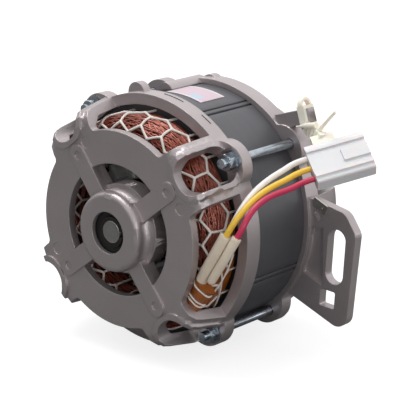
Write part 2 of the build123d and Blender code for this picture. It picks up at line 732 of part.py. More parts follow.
def connector_housing():
    """Nylon housing: open cavities at the mating end, a latch and two key rails."""
    box = Box(CONNECTOR_LENGTH, CONNECTOR_THICK, CONNECTOR_TALL)
    box = fillet(box.edges().filter_by(Axis.X), CONNECTOR_ROUND)
    mouth = CONNECTOR_LENGTH / 2
    for offset in cavity_offsets():
        box -= Pos(mouth - CAVITY_DEEP / 2, 0, offset) * Box(CAVITY_DEEP, CAVITY_THICK, CAVITY_WIDE)
    latch = Pos(mouth - LATCH_LENGTH / 2, -CONNECTOR_THICK / 2, 0)
    box += latch * Box(LATCH_LENGTH, LATCH_TALL, LATCH_WIDE)
    for side in (-1, 1):
        rail = Pos(0, -CONNECTOR_THICK / 2, side * (CONNECTOR_TALL / 2 - RAIL_INSET))
        box += rail * Box(CONNECTOR_LENGTH, 2 * RAIL_TALL, RAIL_WIDE)
    return CONNECTOR * box


def connector_terminals():
    length = CAVITY_DEEP - BLADE_SHORT
    start = CONNECTOR_LENGTH / 2 - CAVITY_DEEP
    blade = Pos(start + length / 2, 0, 0) * Box(length, BLADE_THICK, BLADE_WIDE)
    return CONNECTOR * Compound([Pos(0, 0, offset) * blade for offset in cavity_offsets()])


def cable_clip():
    """Nylon clip: a jaw and finger loop on the tab, a ribbed neck and a foot on the connector."""
    middle = REAR_RIM - TAB_BACK + TAB_THICK / 2
    tab = Pos(TAB_AT[0], -middle, TAB_AT[1]) * Rot(0, -TAB_TILT, 0)
    jaw_at = TAB_LENGTH - JAW_FROM_END - JAW_LENGTH / 2
    outer_tall = TAB_WIDTH + 2 * (JAW_WALL + FIT)
    jaw = Box(JAW_LENGTH, TAB_THICK + 2 * (JAW_WALL + FIT), outer_tall)
    jaw -= Box(JAW_LENGTH, TAB_THICK + 2 * FIT, TAB_WIDTH + 2 * FIT)
    loop = Cylinder(LOOP_R + LOOP_WALL, LOOP_WIDE) - Cylinder(LOOP_R, LOOP_WIDE)
    loop &= Pos(0, OVERRUN / 2 - JAW_WALL, 0) * Box(OVERRUN, OVERRUN, OVERRUN)
    loop = Pos(0, 0, outer_tall / 2) * Rot(0, 0, 90) * Rot(90, 0, 0) * loop
    grip = tab * Pos(jaw_at, 0, 0) * (jaw + loop)
    foot_at = CONNECTOR * Pos(FOOT_OFF, 0, (CONNECTOR_TALL + FOOT_TALL) / 2)
    foot = foot_at * Box(FOOT_LENGTH, FOOT_THICK, FOOT_TALL)
    near = (tab * Pos(jaw_at, 0, -outer_tall / 2)).position
    far = foot_at.position
    line = far - near
    frame = Plane(origin=(near + far) / 2, x_dir=line, z_dir=Vector(0, 1, 0).cross(line))
    neck = Box(line.length, NECK_THICK, NECK_TALL)
    for k in range(NECK_SLIT_COUNT):
        at = line.length * (k + 1) / (NECK_SLIT_COUNT + 1) - line.length / 2
        for side in (-1, 1):
            slit = Box(SLIT_WIDE, 2 * SLIT_DEEP, NECK_TALL)
            neck -= Pos(at, side * NECK_THICK / 2, 0) * slit
    clip = grip + frame * neck + foot
    tab_room = tab * Pos(TAB_LENGTH / 2, 0, 0) * Box(
        TAB_LENGTH + 2 * FIT, TAB_THICK + 2 * FIT, TAB_WIDTH + 2 * FIT)
    connector_room = CONNECTOR * Box(CONNECTOR_LENGTH, CONNECTOR_THICK, CONNECTOR_TALL)
    return clip - tab_room - connector_room


def earth_tab():
    """A tinned push-on blade that lies on the flange's front face."""
    blade = Box(EARTH_LENGTH, EARTH_WIDTH, EARTH_THICK, align=BASE)
    hole = Pos(EARTH_LENGTH / 2 - EARTH_WIDTH / 2, 0, 0) * Cylinder(EARTH_HOLE_R, EARTH_THICK, align=BASE)
    place = Pos(*EARTH_AT, REAR_RIM - FLANGE_FACE) * Rot(0, 0, EARTH_TILT)
    return place * (blade - hole)


def rating_label():
    """A bare metal plate that follows the stack."""
    low = REAR_RIM + LABEL_FROM_REAR
    band = tube(STACK_R + FIT + LABEL_THICK, STACK_R + FIT, low, low + LABEL_LENGTH)
    wide = 2 * (STACK_R + LABEL_THICK) * math.tan(math.radians(LABEL_SPAN / 2))
    wedge = Rot(0, 0, LABEL_ANGLE) * Pos(STACK_R, 0, low) * Box(STACK_R, wide, LABEL_LENGTH, align=BASE)
    return band & wedge


def cord(name, points, radius, sides):
    """A tube on straight runs and tangent arcs, each as large as its runs allow."""
    points = [Vector(*point) for point in points]
    radii = []
    for a, b, c in zip(points, points[1:], points[2:]):
        turn = (b - a).get_angle(c - b)
        shorter = min((b - a).length, (c - b).length)
        radii.append(RUN_SHARE * shorter / math.tan(math.radians(turn) / 2))
    path = FilletPolyline(*points, radius=radii).wire()
    section = Plane(origin=path @ 0, z_dir=path % 0) * RegularPolygon(radius, sides)
    body = sweep(section, path)
    share = body.volume / (section.area * path.length)
    print(name, "radii", [round(r, 1) for r in radii], "length", round(path.length, 1), "volume", round(share, 3))
    return body


def lead(name, offset, route, sleeve, spread):
    """A lead that leaves the connector square and meets the mouth of its sleeve square."""
    start = (CONNECTOR * Pos(-CONNECTOR_LENGTH / 2, 0, offset)).position
    clear = (CONNECTOR * Pos(-CONNECTOR_LENGTH / 2 - LEAD_STEP, 0, offset)).position
    mouth, inside = Vector(*sleeve[0]), Vector(*sleeve[1])
    outward = (mouth - inside).normalized()
    aside = Vector(*SPREAD_DIRECTION)
    aside = (aside - outward * aside.dot(outward)).normalized()
    end = mouth + aside * spread
    return cord(name, [start, clear, *route, end + outward * LEAD_STEP, end], LEAD_R, LEAD_SIDE_COUNT)


def save(name, shape):
    export_step(shape, os.path.join("parts", name + ".step"))


os.makedirs("parts", exist_ok=True)
save("front_shield", laid(front_shield()))
save("rear_shield", laid(rear_shield()))
save("stator_stack", laid(stator_stack()))
save("slot_liners", laid(slot_liners()))
save("slot_windings", laid(slot_windings()))
front_end = Pos(0, 0, STACK_TOP + WINDING_START)
rear_end = Pos(0, 0, STACK_FOOT - WINDING_START) * Rot(180, 0, 0)
save("front_winding_core", laid(front_end * winding_core()))
save("rear_winding_core", laid(rear_end * winding_core()))
save("front_end_winding", laid(front_end * winding_turns(FRONT_TURNS)))
save("rear_end_winding", laid(rear_end * winding_turns(REAR_TURNS)))
print("least gap between turns", round(winding_least_gap(FRONT_TURNS), 2))
save("insulation_film", laid(insulation_film()))
for end_name, station in (("rear", REAR_BEARING), ("front", FRONT_BEARING)):
    save(end_name + "_bearing_outer", laid(Pos(0, 0, station) * bearing_outer_ring()))
    save(end_name + "_bearing_inner", laid(Pos(0, 0, station) * bearing_inner_ring()))
    save(end_name + "_ball_set", laid(Pos(0, 0, station) * ball_set()))
save("wave_washer", laid(wave_washer()))
save("shaft", laid(shaft()))
save("retaining_ring", laid(retaining_ring()))
save("rotor_core", laid(rotor_core()))
save("front_rotor_cage", laid(rotor_cage(STACK_TOP, 1)))
save("rear_rotor_cage", laid(rotor_cage(STACK_FOOT, -1)))
save("through_bolts", laid(through_bolts()))
save("bolt_nuts", laid(bolt_nuts()))
save("bolt_washers", laid(bolt_washers()))
save("earth_tab", laid(earth_tab()))
save("rating_label", laid(rating_label()))
save("connector_housing", connector_housing())
save("connector_terminals", connector_terminals())
save("cable_clip", cable_clip())
low_pin, middle_pin, high_pin = cavity_offsets()
save("lead_white", lead("lead_white", high_pin, WHITE_ROUTE, WIDE_SLEEVE_ROUTE, -LEAD_SPREAD))
save("lead_yellow", lead("lead_yellow", middle_pin, YELLOW_ROUTE, WIDE_SLEEVE_ROUTE, LEAD_SPREAD))
save("lead_red", lead("lead_red", low_pin, RED_ROUTE, NARROW_SLEEVE_ROUTE, 0))
save("sleeve_wide", cord("sleeve_wide", WIDE_SLEEVE_ROUTE, WIDE_SLEEVE_R, SLEEVE_SIDE_COUNT))
save("sleeve_narrow", cord("sleeve_narrow", NARROW_SLEEVE_ROUTE, NARROW_SLEEVE_R, SLEEVE_SIDE_COUNT))
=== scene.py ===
import math
import random

import bmesh
import bpy
from mathutils import Matrix, Vector


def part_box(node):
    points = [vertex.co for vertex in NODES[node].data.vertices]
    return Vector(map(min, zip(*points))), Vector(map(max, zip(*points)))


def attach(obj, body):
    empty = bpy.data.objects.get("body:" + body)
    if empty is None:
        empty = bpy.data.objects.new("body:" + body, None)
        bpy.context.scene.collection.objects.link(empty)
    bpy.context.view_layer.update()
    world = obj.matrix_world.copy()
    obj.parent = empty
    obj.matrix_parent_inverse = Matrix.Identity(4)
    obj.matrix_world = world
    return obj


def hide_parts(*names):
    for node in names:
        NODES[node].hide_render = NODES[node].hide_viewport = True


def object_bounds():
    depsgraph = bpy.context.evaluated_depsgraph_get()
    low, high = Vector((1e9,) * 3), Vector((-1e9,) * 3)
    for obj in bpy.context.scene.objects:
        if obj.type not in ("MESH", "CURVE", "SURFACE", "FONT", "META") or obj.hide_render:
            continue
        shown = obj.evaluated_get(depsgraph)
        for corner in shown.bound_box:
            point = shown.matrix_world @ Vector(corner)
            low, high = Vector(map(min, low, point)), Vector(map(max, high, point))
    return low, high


bl_info = {
    "name": "Washing machine motor",
    "version": (1, 0, 0),
    "blender": (4, 5, 0),
    "location": "3D Viewport > Sidebar > Motor",
    "description": "Dresses a washing machine motor: castings, wound coils, leads and small parts",
    "category": "Object",
}

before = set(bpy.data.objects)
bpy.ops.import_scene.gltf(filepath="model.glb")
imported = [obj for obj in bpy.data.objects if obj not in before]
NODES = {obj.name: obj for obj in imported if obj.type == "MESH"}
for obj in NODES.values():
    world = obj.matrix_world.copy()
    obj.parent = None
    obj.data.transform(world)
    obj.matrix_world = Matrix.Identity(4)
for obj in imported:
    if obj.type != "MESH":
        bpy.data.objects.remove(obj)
CAD_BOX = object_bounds()

MM = 0.001
WELD = 0.000005         # vertices closer than this are one

# End windings, in millimetres from the part's own frame
STACK_FACES = {"front": -85.2, "rear": -37.2}
OUTWARD = {"front": -1, "rear": 1}
WINDING_START = 3.5
WINDING_DEEP = 16.5
WINDING_OUT_R = 57.4
WINDING_IN_R = 41.0
WINDING_ROUND = 8.0
SLOTS = 24
WINDING_SEEDS = {"front": 11, "rear": 23}
CORE_SINK = 0.9         # the core's skin under the winding's own
CORE_STEPS = 28
RING_STEPS = 96

# Hoops: each one's number of waves, their sizes, how often each fits round, and the lift off the skin
HOOP_WAVES = 3
HOOP_SWAY = (0.3, 0.75)
HOOP_TIMES = (2, 11)
HOOP_LIFT = (-0.5, 0.05)

# Coil ends
COIL_SPAN = 5           # slots from one side of a coil to the other
COIL_ASIDE = (-0.2, 0.2)    # where a wire starts beside its slot, in slots
COIL_PLACE = (0.1, 0.9)     # its top's place in its own share of the rise
COIL_STEPS = 30
COIL_LOW = 4.0          # least place that a coil end rises to
COIL_RISE = 26.0
COIL_LIFT = (-0.1, 0.45)
COIL_LEAN = 1.5
COIL_BLUNT_SHARE = 0.55

# Straight coil sides in the slots
SIDE_WIRE_R = 0.55
SIDE_FIRST_R = 39.4
SIDE_ROWS = 7
SIDE_ROW_STEP = 2.05
SIDE_NARROW_ROWS = 3    # rows of two wires, before the rows of three
SIDE_NARROW_SHARE = 0.9
SIDE_ASIDE = 0.25
SIDE_ASIDE_STEP = 0.27

# Lacing
LACING_ROWS = ((4.0, 8.5), (15.5, 20.0), (27.0, 31.0))
LACING_LIFT = 0.95
LACING_KNOT_SHARE = 1.45
LACING_STEPS = 4
LEG_STEPS = 5
LAST_LEG_STEPS = 8      # for the longer legs that run down inside the winding

# Film laid over the winding's skin: its place and reach up the skin, its angles, and its creases,
# each drawn by how often it fits along, how often it fits up, and where it starts
FILM_FROM = 0.5
FILM_REACH = 15.5
FILM_ANGLE = -40
FILM_SPAN = 38
FILM_LIFT = 1.0
FILM_WALL = 0.3
FILM_GRID = (44, 18)
FILM_SEED = 5
FILM_CREASES = 5
FILM_CREASE = 0.1
FILM_CREASE_SPANS = ((3, 14), (2, 7), (0, 6))
FILM_EDGE = ((0.8, 9), (0.5, 23))       # the waves of its free edge

# Ties over the film, each from one angle and place to another
FILM_TIES = (((-41, 2.0), (-4, 13.0)), ((-36, 14.5), (-6, 3.0)))
FILM_TIE_LIFT = 2.0
FILM_TIE_STEPS = 14
TIE_R = 0.5

# Film wrapped round the sleeves' ends, and its ties as shares of its length
WRAP_TOP = (53.9, -107.7, -19.5)
WRAP_FOOT = (43.5, -107.4, -34.5)
WRAP_TIES = (0.34, 0.46, 0.84)
WRAP_WIDE = (5.0, 1.9)  # half width at the foot, and what it gains by the top
WRAP_DEEP = (2.5, 0.9)
WRAP_CREASES = ((0.04, 5, 9), (0.03, 3, -17))
WRAP_FOOT_SHARE = 0.14
WRAP_PINCH_SHARE = 0.14
WRAP_TIE_SHARE = 0.05
WRAP_TIE_STEPS = 24
WRAP_SIDES = 36
WRAP_CUTS = 23

# Connector's place, and the leads' routes, in millimetres
CONNECTOR_AT = (90.4, -45.6, 39.1)
CONNECTOR_TURN = (35.6, -50.1, -21.1)   # about Z, X and Y, in that order
CONNECTOR_LENGTH = 31.0
CAVITY_PITCH = 6.4
LEAD_STEP = 6.0
LEAD_ENTERS = 1.0       # how far a lead runs on inside the connector
LEAD_INSIDE = 3.0       # how far a lead runs on inside its sleeve
LEAD_SPREAD = 1.65
SPREAD_WAY = (0.54, -0.84, 0.06)
ROUTES = {
    "white": ((72.0, -68.2, 35.3), (70.4, -76.2, 32.7), (69.3, -84.3, 29.3),
              (68.6, -91.3, 25.1), (67.9, -97.1, 19.7)),
    "yellow": ((76.6, -71.3, 31.9), (74.3, -80.1, 29.6), (72.6, -88.4, 26.6),
               (71.4, -95.8, 22.4), (70.1, -101.5, 17.4)),
    "red": ((80.2, -72.9, 27.9), (77.1, -81.6, 26.5), (75.2, -89.5, 24.1),
            (74.4, -95.7, 20.5), (74.1, -100.1, 16.1)),
}
WIDE_SLEEVE = ((65.3, -104.6, 7.8), (62.8, -106.6, 1.9), (59.3, -107.4, -4.7),
               (55.1, -107.5, -11.6), (50.7, -107.5, -19.0))
NARROW_SLEEVE = ((71.5, -103.9, 7.6), (69.1, -106.1, 1.7), (66.0, -107.4, -4.6),
                 (61.9, -107.8, -11.2), (58.4, -108.6, -17.3))
WIDE_SLEEVE_R = 3.3
NARROW_SLEEVE_R = 2.4
SLEEVE_WALL = 0.35
MOUTH_REACH = 2.0       # a cap nearer than this to a sleeve's mouth is the one there
SLEEVES = (
    ("wide", WIDE_SLEEVE, WIDE_SLEEVE_R, (1.04, 1.0, 1.0, 1.0, 0.9)),
    ("narrow", NARROW_SLEEVE, NARROW_SLEEVE_R, (1.06, 1.0, 1.0, 1.0, 0.9)),
)
LEADS = {
    "white": (1, -LEAD_SPREAD, WIDE_SLEEVE),
    "yellow": (0, LEAD_SPREAD, WIDE_SLEEVE),
    "red": (-1, 0.0, NARROW_SLEEVE),
}

# The clip's thin pin and its wedge shaped arm: places along each, and its radius there
CLIP_ARMS = (
    (((74.1, -42.0, 51.5), (76.1, -42.0, 53.8), (79.2, -42.0, 57.4), (84.4, -42.0, 63.0)),
     (1.3, 1.1, 0.85, 0.8)),
    (((72.5, -42.0, 54.0), (69.0, -42.0, 53.4), (64.5, -42.0, 52.6), (59.6, -42.0, 51.1)),
     (1.8, 1.6, 1.2, 0.4)),
)

# Fine slits in the front shield's rim, drawn as strips of painted shade, from one angle to another
RIM_R = 68.0
RIM_SLITS = ((74.2, 85.5), (56.8, 62.8))
SLIT_Y = -84.2
SLIT_WIDE = 0.5
SLIT_STEPS = 12

# Shading and bearings
SMOOTH_ANGLE = 35.0     # an edge sharper than this stays sharp
CASTING_SMOOTH_ANGLE = 26.0
WRAP_SMOOTH_ANGLE = 60.0
BAND_PITCH = 6.3675     # from one soft band on the stack to the next
SEAL_OUT_R = 15.0       # the seals' faces lie inside this radius

# Bolts
BOLT_ANGLES = (37.0, 127.0, 217.0, 308.0)
BOLT_CIRCLE_R = 68.5
BOLT_R = 2.5
THREAD_PITCH = 0.8
THREAD_PROUD = 0.12
THREAD_FROM = -93.9
THREAD_TURNS = 3
THREAD_STEPS = 20       # in one turn

# Studio, in metres: the floor, the sky's bright side, and each lamp's place, size and power
FLOOR_SIZE = 6.0
FLOOR_GAP = 0.0005
SKY_WAY = (-0.15, 0.45, 0.88)
LAMPS_FACE = (0.0, -0.06, 0.0)
LAMPS = (
    ("key", (-0.35, -0.1, 1.2), 0.7, 8.5),
    ("right_fill", (1.15, -0.8, 0.15), 0.7, 5.2),
    ("rear_fill", (1.0, 0.95, 0.05), 0.8, 1.8),
    ("front_fill", (0.3, -1.4, 0.5), 0.8, 2.0),
)

# The photograph's camera, as azimuth, elevation and roll, distance, focal length in
# pixels and the picture's centre on the object
CAMERA_ANGLES = (40.85, 16.37, 0.14)
CAMERA_DISTANCE = 903.84
FOCAL_PIXELS = 1673.45
PICTURE = 420
CENTRE = (-15.67, 0.13)
SEAT_BACK = 65.6        # the shaft's seat behind the point that the camera turns about
SENSOR = 36.0
CLIP = (0.01, 50)       # nearest and farthest that the camera sees, in metres


def linear(colour):
    """A colour written as sRGB hex, in linear light."""
    parts = [int(colour[k:k + 2], 16) / 255 for k in (0, 2, 4)]
    return tuple(c / 12.92 if c <= 0.04045 else ((c + 0.055) / 1.055) ** 2.4 for c in parts) + (1.0,)


def colour_property(name, description, colour):
    return bpy.props.FloatVectorProperty(
        name=name, description=description, subtype="COLOR", size=4, min=0, max=1, default=linear(colour))


def length_property(name, description, millimetres):
    return bpy.props.FloatProperty(
        name=name, description=description, subtype="DISTANCE", unit="LENGTH", min=0,
        default=millimetres * MM)


class MotorSizes(bpy.types.PropertyGroup):
    wire: length_property("Wire", "Diameter of one enamelled wire, drawn a little thick", 0.95)
    lacing: length_property("Lacing cord", "Diameter of the cord that ties the winding", 1.35)
    lead: length_property("Lead", "Diameter over a lead's insulation", 3.1)
    edge: length_property("Casting edge", "Rounding that the die leaves on a casting's edges", 0.7)
    hoops: bpy.props.IntProperty(
        name="Hoops", description="Wires laid right round each end winding", default=40, min=1)
    coil_wires: bpy.props.IntProperty(
        name="Coil wires", description="Wires drawn for each slot's coil end", default=7, min=1)


class MotorColours(bpy.types.PropertyGroup):
    casting: colour_property("Casting", "Die cast end shields", "BAB1B2")
    stack: colour_property("Stack", "Varnished steel laminations", "646468")
    copper: colour_property("Copper", "Enamelled wire where it catches the light", "B65E48")
    # Dark copper serves twice: as the darker patches of the wire itself, and as the base of the painted shade
    # between the wires.
    copper_dark_and_gap_shade: colour_property("Copper, dark", "Enamelled wire soaked in varnish", "38100C")
    cord: colour_property("Lacing cord", "Cotton lacing", "E6DED8")
    film: colour_property("Film", "Amber insulation film", "AC5E1A")
    nylon: colour_property("Connector", "White nylon", "D8D8DA")
    clip: colour_property("Clip", "Natural nylon", "F0EADC")
    white: colour_property("White lead", "Insulation of the first lead", "EEEAE8")
    yellow: colour_property("Yellow lead", "Insulation of the second lead", "ECC03C")
    red: colour_property("Red lead", "Insulation of the third lead", "C22A52")
    sleeve: colour_property("Sleeve", "Varnished glass sleeving", "E0D2BE")


def sizes():
    return bpy.context.scene.motor_sizes


def colours():
    return bpy.context.scene.motor_colours


# Materials

def add_node(tree, kind, inputs=None, **settings):
    """Adds a node with its settings, and sets or links its inputs."""
    node = tree.nodes.new(kind)
    for key, value in settings.items():
        setattr(node, key, value)
    for key, value in (inputs or {}).items():
        if isinstance(value, bpy.types.NodeSocket):
            tree.links.new(value, node.inputs[key])
        else:
            node.inputs[key].default_value = value
    return node


def start_material(name, **sockets):
    material = bpy.data.materials.new(name)
    material.use_nodes = True
    tree = material.node_tree
    shader = tree.nodes["Principled BSDF"]
    for key, value in sockets.items():
        shader.inputs[key.replace("_", " ")].default_value = value
    place = add_node(tree, "ShaderNodeTexCoord").outputs["Object"]
    return material, tree, shader, place


def darker(colour, share):
    return tuple(c * share for c in colour[:3]) + (1.0,)


def vary(tree, place, shader, low, high, scale, detail=3.0):
    """Two shades of one colour, mixed in soft patches."""
    noise = add_node(tree, "ShaderNodeTexNoise", {"Vector": place, "Scale": scale, "Detail": detail})
    mix = add_node(tree, "ShaderNodeMix", {0: noise.outputs["Fac"], 6: low, 7: high}, data_type="RGBA")
    tree.links.new(mix.outputs[2], shader.inputs["Base Color"])


def roughen(tree, place, shader, scale, depth, normal=None):
    """A fine grain in the surface, with a depth in millimetres."""
    noise = add_node(tree, "ShaderNodeTexNoise", {"Vector": place, "Scale": scale, "Detail": 2.0})
    inputs = {"Height": noise.outputs["Fac"], "Strength": 1.0, "Distance": depth * MM}
    if normal is not None:
        inputs["Normal"] = normal
    bump = add_node(tree, "ShaderNodeBump", inputs)
    tree.links.new(bump.outputs["Normal"], shader.inputs["Normal"])


def die_cast_aluminium():
    """Aluminium as it leaves the die: a dull warm grey skin, soft at its edges, with cloudy flow marks."""
    material, tree, shader, place = start_material("die_cast_aluminium", Metallic=0.8, Roughness=0.42)
    base = colours().casting
    vary(tree, place, shader, darker(base, 0.86), base, 1 / (14 * MM), 4.0)
    # The skin's grain is about 0.3 mm. It is drawn at 0.8 mm, so that it shows.
    edge = add_node(tree, "ShaderNodeBevel", {"Radius": sizes().edge}, samples=4)
    roughen(tree, place, shader, 1 / (0.8 * MM), 0.15, edge.outputs["Normal"])
    return material


def slit_shadow():
    """Painted shade: a near-black strip that stands for the shadow inside a fine slit in a casting."""
    material, tree, shader, place = start_material("shadow_in_a_slit", Roughness=0.9)
    vary(tree, place, shader, linear("1C1A1A"), linear("2A2828"), 1 / (2 * MM))
    return material


def varnished_laminations():
    """Electrical steel sheets under baked varnish: dark and satin, with soft bands round it."""
    material, tree, shader, place = start_material("varnished_laminations", Metallic=0.55, Roughness=0.46)
    base = colours().stack
    vary(tree, place, shader, darker(base, 0.8), base, 1 / (22 * MM))
    # Sheets are 0.5 mm thick, too fine to show. Soft bands about 6.4 mm apart stand for them.
    # The wave's sine turns through 20 radians for each unit of place times scale.
    bands = add_node(tree, "ShaderNodeTexWave", {
        "Vector": place, "Scale": 2 * math.pi / 20 / (BAND_PITCH * MM)},
        wave_type="BANDS", bands_direction="Y")
    bump = add_node(tree, "ShaderNodeBump", {"Height": bands.outputs["Fac"], "Distance": 0.03 * MM})
    tree.links.new(bump.outputs["Normal"], shader.inputs["Normal"])
    return material


def enamelled_copper():
    """Copper wire under clear red-brown enamel: glossy, dark in places and salmon in the light."""
    material, tree, shader, place = start_material(
        "enamelled_copper", Metallic=0.65, Roughness=0.3, Coat_Weight=0.6, Coat_Roughness=0.15)
    vary(tree, place, shader, colours().copper_dark_and_gap_shade, colours().copper, 1 / (2.2 * MM), 2.0)
    return material


def painted_gap_shade():
    """Painted shade: the inner layers of wire, seen only in the gaps, drawn near black for the shadow between
    the outer wires.
    """
    material, tree, shader, place = start_material("painted_shade_between_wires", Metallic=0.3, Roughness=0.6)
    base = colours().copper_dark_and_gap_shade
    # Darkened further still, as painted shade in the gaps.
    vary(tree, place, shader, darker(base, 0.25), darker(base, 0.6), 1 / (1.5 * MM))
    return material


def cotton_cord():
    """Waxed cotton lacing: off-white and matte, with a fine grain in place of its twist."""
    material, tree, shader, place = start_material("waxed_cotton_cord", Roughness=0.75)
    base = colours().cord
    vary(tree, place, shader, darker(base, 0.78), base, 1 / (1.2 * MM))
    roughen(tree, place, shader, 1 / (0.4 * MM), 0.08)
    return material


def amber_film():
    """Polyester film soaked in amber varnish: a soft gloss, lightly crinkled, with browner patches."""
    material, tree, shader, place = start_material(
        "varnished_polyester_film", Roughness=0.35, Coat_Weight=0.3, Coat_Roughness=0.12)
    base = colours().film
    vary(tree, place, shader, darker(base, 0.35), base, 1 / (5 * MM))
    roughen(tree, place, shader, 1 / (4 * MM), 0.35)
    return material


def zinc_plated_steel():
    """Bright zinc on turned steel, with the cool blue of its passivation."""
    material, tree, shader, place = start_material("zinc_plated_steel", Metallic=1.0, Roughness=0.24)
    vary(tree, place, shader, linear("98A3AE"), linear("C3CAD0"), 1 / (3 * MM))
    return material


def ground_steel():
    """Ground bearing steel: neutral, with a soft sheen."""
    material, tree, shader, place = start_material("ground_steel", Metallic=1.0, Roughness=0.3)
    vary(tree, place, shader, linear("8E8D8B"), linear("B2B1AF"), 1 / (2 * MM))
    return material


def oiled_steel():
    """Hardened steel under a film of old oil: dark brown-grey with a dull sheen."""
    material, tree, shader, place = start_material("oiled_spring_steel", Metallic=0.9, Roughness=0.42)
    vary(tree, place, shader, linear("2C2826"), linear("4E4844"), 1 / (2 * MM))
    return material


def seal_rubber():
    """Nitrile rubber of the bearings' seals: near black and matte."""
    material, tree, shader, place = start_material("nitrile_rubber", Roughness=0.7)
    vary(tree, place, shader, linear("141414"), linear("222222"), 1 / (2 * MM))
    return material


def rotor_steel():
    """Turned rotor laminations: dark steel with a dull sheen."""
    material, tree, shader, place = start_material("turned_rotor_steel", Metallic=0.8, Roughness=0.4)
    vary(tree, place, shader, linear("3A3A3C"), linear("565658"), 1 / (4 * MM))
    return material


def cage_aluminium():
    """Aluminium cast into the rotor, with its fan vanes: paler and rougher than the shields."""
    material, tree, shader, place = start_material("pure_cast_aluminium", Metallic=0.75, Roughness=0.5)
    vary(tree, place, shader, linear("8C8C8C"), linear("B4B4B2"), 1 / (5 * MM))
    roughen(tree, place, shader, 1 / (1.0 * MM), 0.06)
    return material


def tinned_brass():
    """Tin over brass: pale, with a faint warmth."""
    material, tree, shader, place = start_material("tinned_brass", Metallic=1.0, Roughness=0.28)
    vary(tree, place, shader, linear("B5B0A4"), linear("D6D3CB"), 1 / (1.5 * MM))
    return material


def moulded_nylon(name, colour, see_through):
    """Moulded nylon: a soft gloss, and light that goes a little way in."""
    material, tree, shader, place = start_material(
        name, Roughness=0.36, Subsurface_Weight=see_through, Subsurface_Scale=4 * MM, IOR=1.53)
    vary(tree, place, shader, darker(colour, 0.97), colour, 1 / (12 * MM))
    return material


def pvc_insulation(name, colour):
    """Extruded PVC over a lead: smooth, with a soft gloss."""
    material, tree, shader, place = start_material(name, Roughness=0.38, IOR=1.53)
    vary(tree, place, shader, darker(colour, 0.9), colour, 1 / (8 * MM))
    return material


def glass_sleeving():
    """Braided glass sleeving under varnish: cream, with the braid's fine diamonds and a soft gloss."""
    material, tree, shader, place = start_material("varnished_glass_braid", Roughness=0.42, Coat_Weight=0.2)
    base = colours().sleeve
    vary(tree, place, shader, darker(base, 0.86), base, 1 / (6 * MM))
    # The braid's diamonds are about 0.4 mm. They are drawn at 0.7 mm.
    braid = add_node(tree, "ShaderNodeTexVoronoi", {"Vector": place, "Scale": 1 / (0.7 * MM)})
    bump = add_node(tree, "ShaderNodeBump", {"Height": braid.outputs["Distance"], "Distance": 0.06 * MM})
    tree.links.new(bump.outputs["Normal"], shader.inputs["Normal"])
    return material


def slot_paper():
    """Pressed insulating paper: pale buff and matte."""
    material, tree, shader, place = start_material("pressed_insulating_paper", Roughness=0.8)
    vary(tree, place, shader, linear("B9AE93"), linear("D8D0BB"), 1 / (3 * MM))
    return material


def blank_label():
    """A blank printed plate: a pale pink field, a small pale blue panel and nothing written."""
    material, tree, shader, place = start_material("blank_paper_label", Roughness=0.45)
    low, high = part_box("rating_label")
    along = add_node(tree, "ShaderNodeSeparateXYZ", {"Vector": place})
    share = add_node(tree, "ShaderNodeMapRange", {
        "Value": along.outputs["X"], "From Min": low.x, "From Max": high.x})
    ramp = add_node(tree, "ShaderNodeValToRGB", {"Fac": share.outputs["Result"]})
    ramp.color_ramp.interpolation = "CONSTANT"
    ramp.color_ramp.elements[0].color = linear("C2AEB8")
    ramp.color_ramp.elements[1].color = linear("C2AEB8")
    ramp.color_ramp.elements[1].position = 0.84
    panel = ramp.color_ramp.elements.new(0.58)
    panel.color = linear("A8BCCC")
    front = add_node(tree, "ShaderNodeMapRange", {
        "Value": along.outputs["Y"], "From Min": low.y, "From Max": high.y})
    near = add_node(tree, "ShaderNodeMath", {0: front.outputs["Result"], 1: 0.38}, operation="LESS_THAN")
    field = add_node(tree, "ShaderNodeMix", {
        0: near.outputs[0], 6: linear("C2AEB8"), 7: ramp.outputs["Color"]}, data_type="RGBA")
    # A paler margin runs along both ends of the plate.
    middle = add_node(tree, "ShaderNodeMath", {
        0: front.outputs["Result"], 1: 0.5, 2: 0.42}, operation="COMPARE")
    plate = add_node(tree, "ShaderNodeMix", {
        0: middle.outputs[0], 6: linear("CFC6CC"), 7: field.outputs[2]}, data_type="RGBA")
    tree.links.new(plate.outputs[2], shader.inputs["Base Color"])
    return material


# Pieces

def finish_piece(obj, body, slot, materials, *nodes):
    """Links a new piece, gives it its finish, and lets it move with its body."""
    bpy.context.scene.collection.objects.link(obj)
    for material in materials:
        obj.data.materials.append(material)
    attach(obj, body)
    if nodes:
        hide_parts(*nodes)


def keep_node(node, material):
    """Shows a CAD node as it is, in a new finish."""
    obj = NODES[node]
    obj.data.materials.clear()
    obj.data.materials.append(material)


def piece_from(name, bm, smooth_angle=SMOOTH_ANGLE, keep_flat=True):
    """A mesh object from a bmesh, smooth but for edges sharper than the angle."""
    mesh = bpy.data.meshes.new(name)
    bm.to_mesh(mesh)
    bm.free()
    mesh.shade_smooth()
    mesh.set_sharp_from_angle(angle=math.radians(smooth_angle))
    obj = bpy.data.objects.new(name, mesh)
    if keep_flat:
        weigh = obj.modifiers.new("flat_faces", "WEIGHTED_NORMAL")
        weigh.keep_sharp = True
    return obj


def node_copy(node):
    """A welded copy of a CAD node's mesh, with its flat triangles joined."""
    bm = bmesh.new()
    bm.from_mesh(NODES[node].data)
    bmesh.ops.remove_doubles(bm, verts=bm.verts, dist=WELD)
    bmesh.ops.dissolve_limit(
        bm, angle_limit=math.radians(0.3), use_dissolve_boundaries=False, verts=bm.verts, edges=bm.edges)
    return bm


def dressed_node(name, node, body, slot, material, smooth_angle=SMOOTH_ANGLE):
    """A smooth shaded copy of a CAD node that stands for it."""
    obj = piece_from(name, node_copy(node), smooth_angle)
    finish_piece(obj, body, slot, [material], node)


def add_wall(obj, thick):
    """Gives an open sheet its thickness, to the inner side of its faces."""
    wall = obj.modifiers.new("wall", "SOLIDIFY")
    wall.thickness = thick * MM


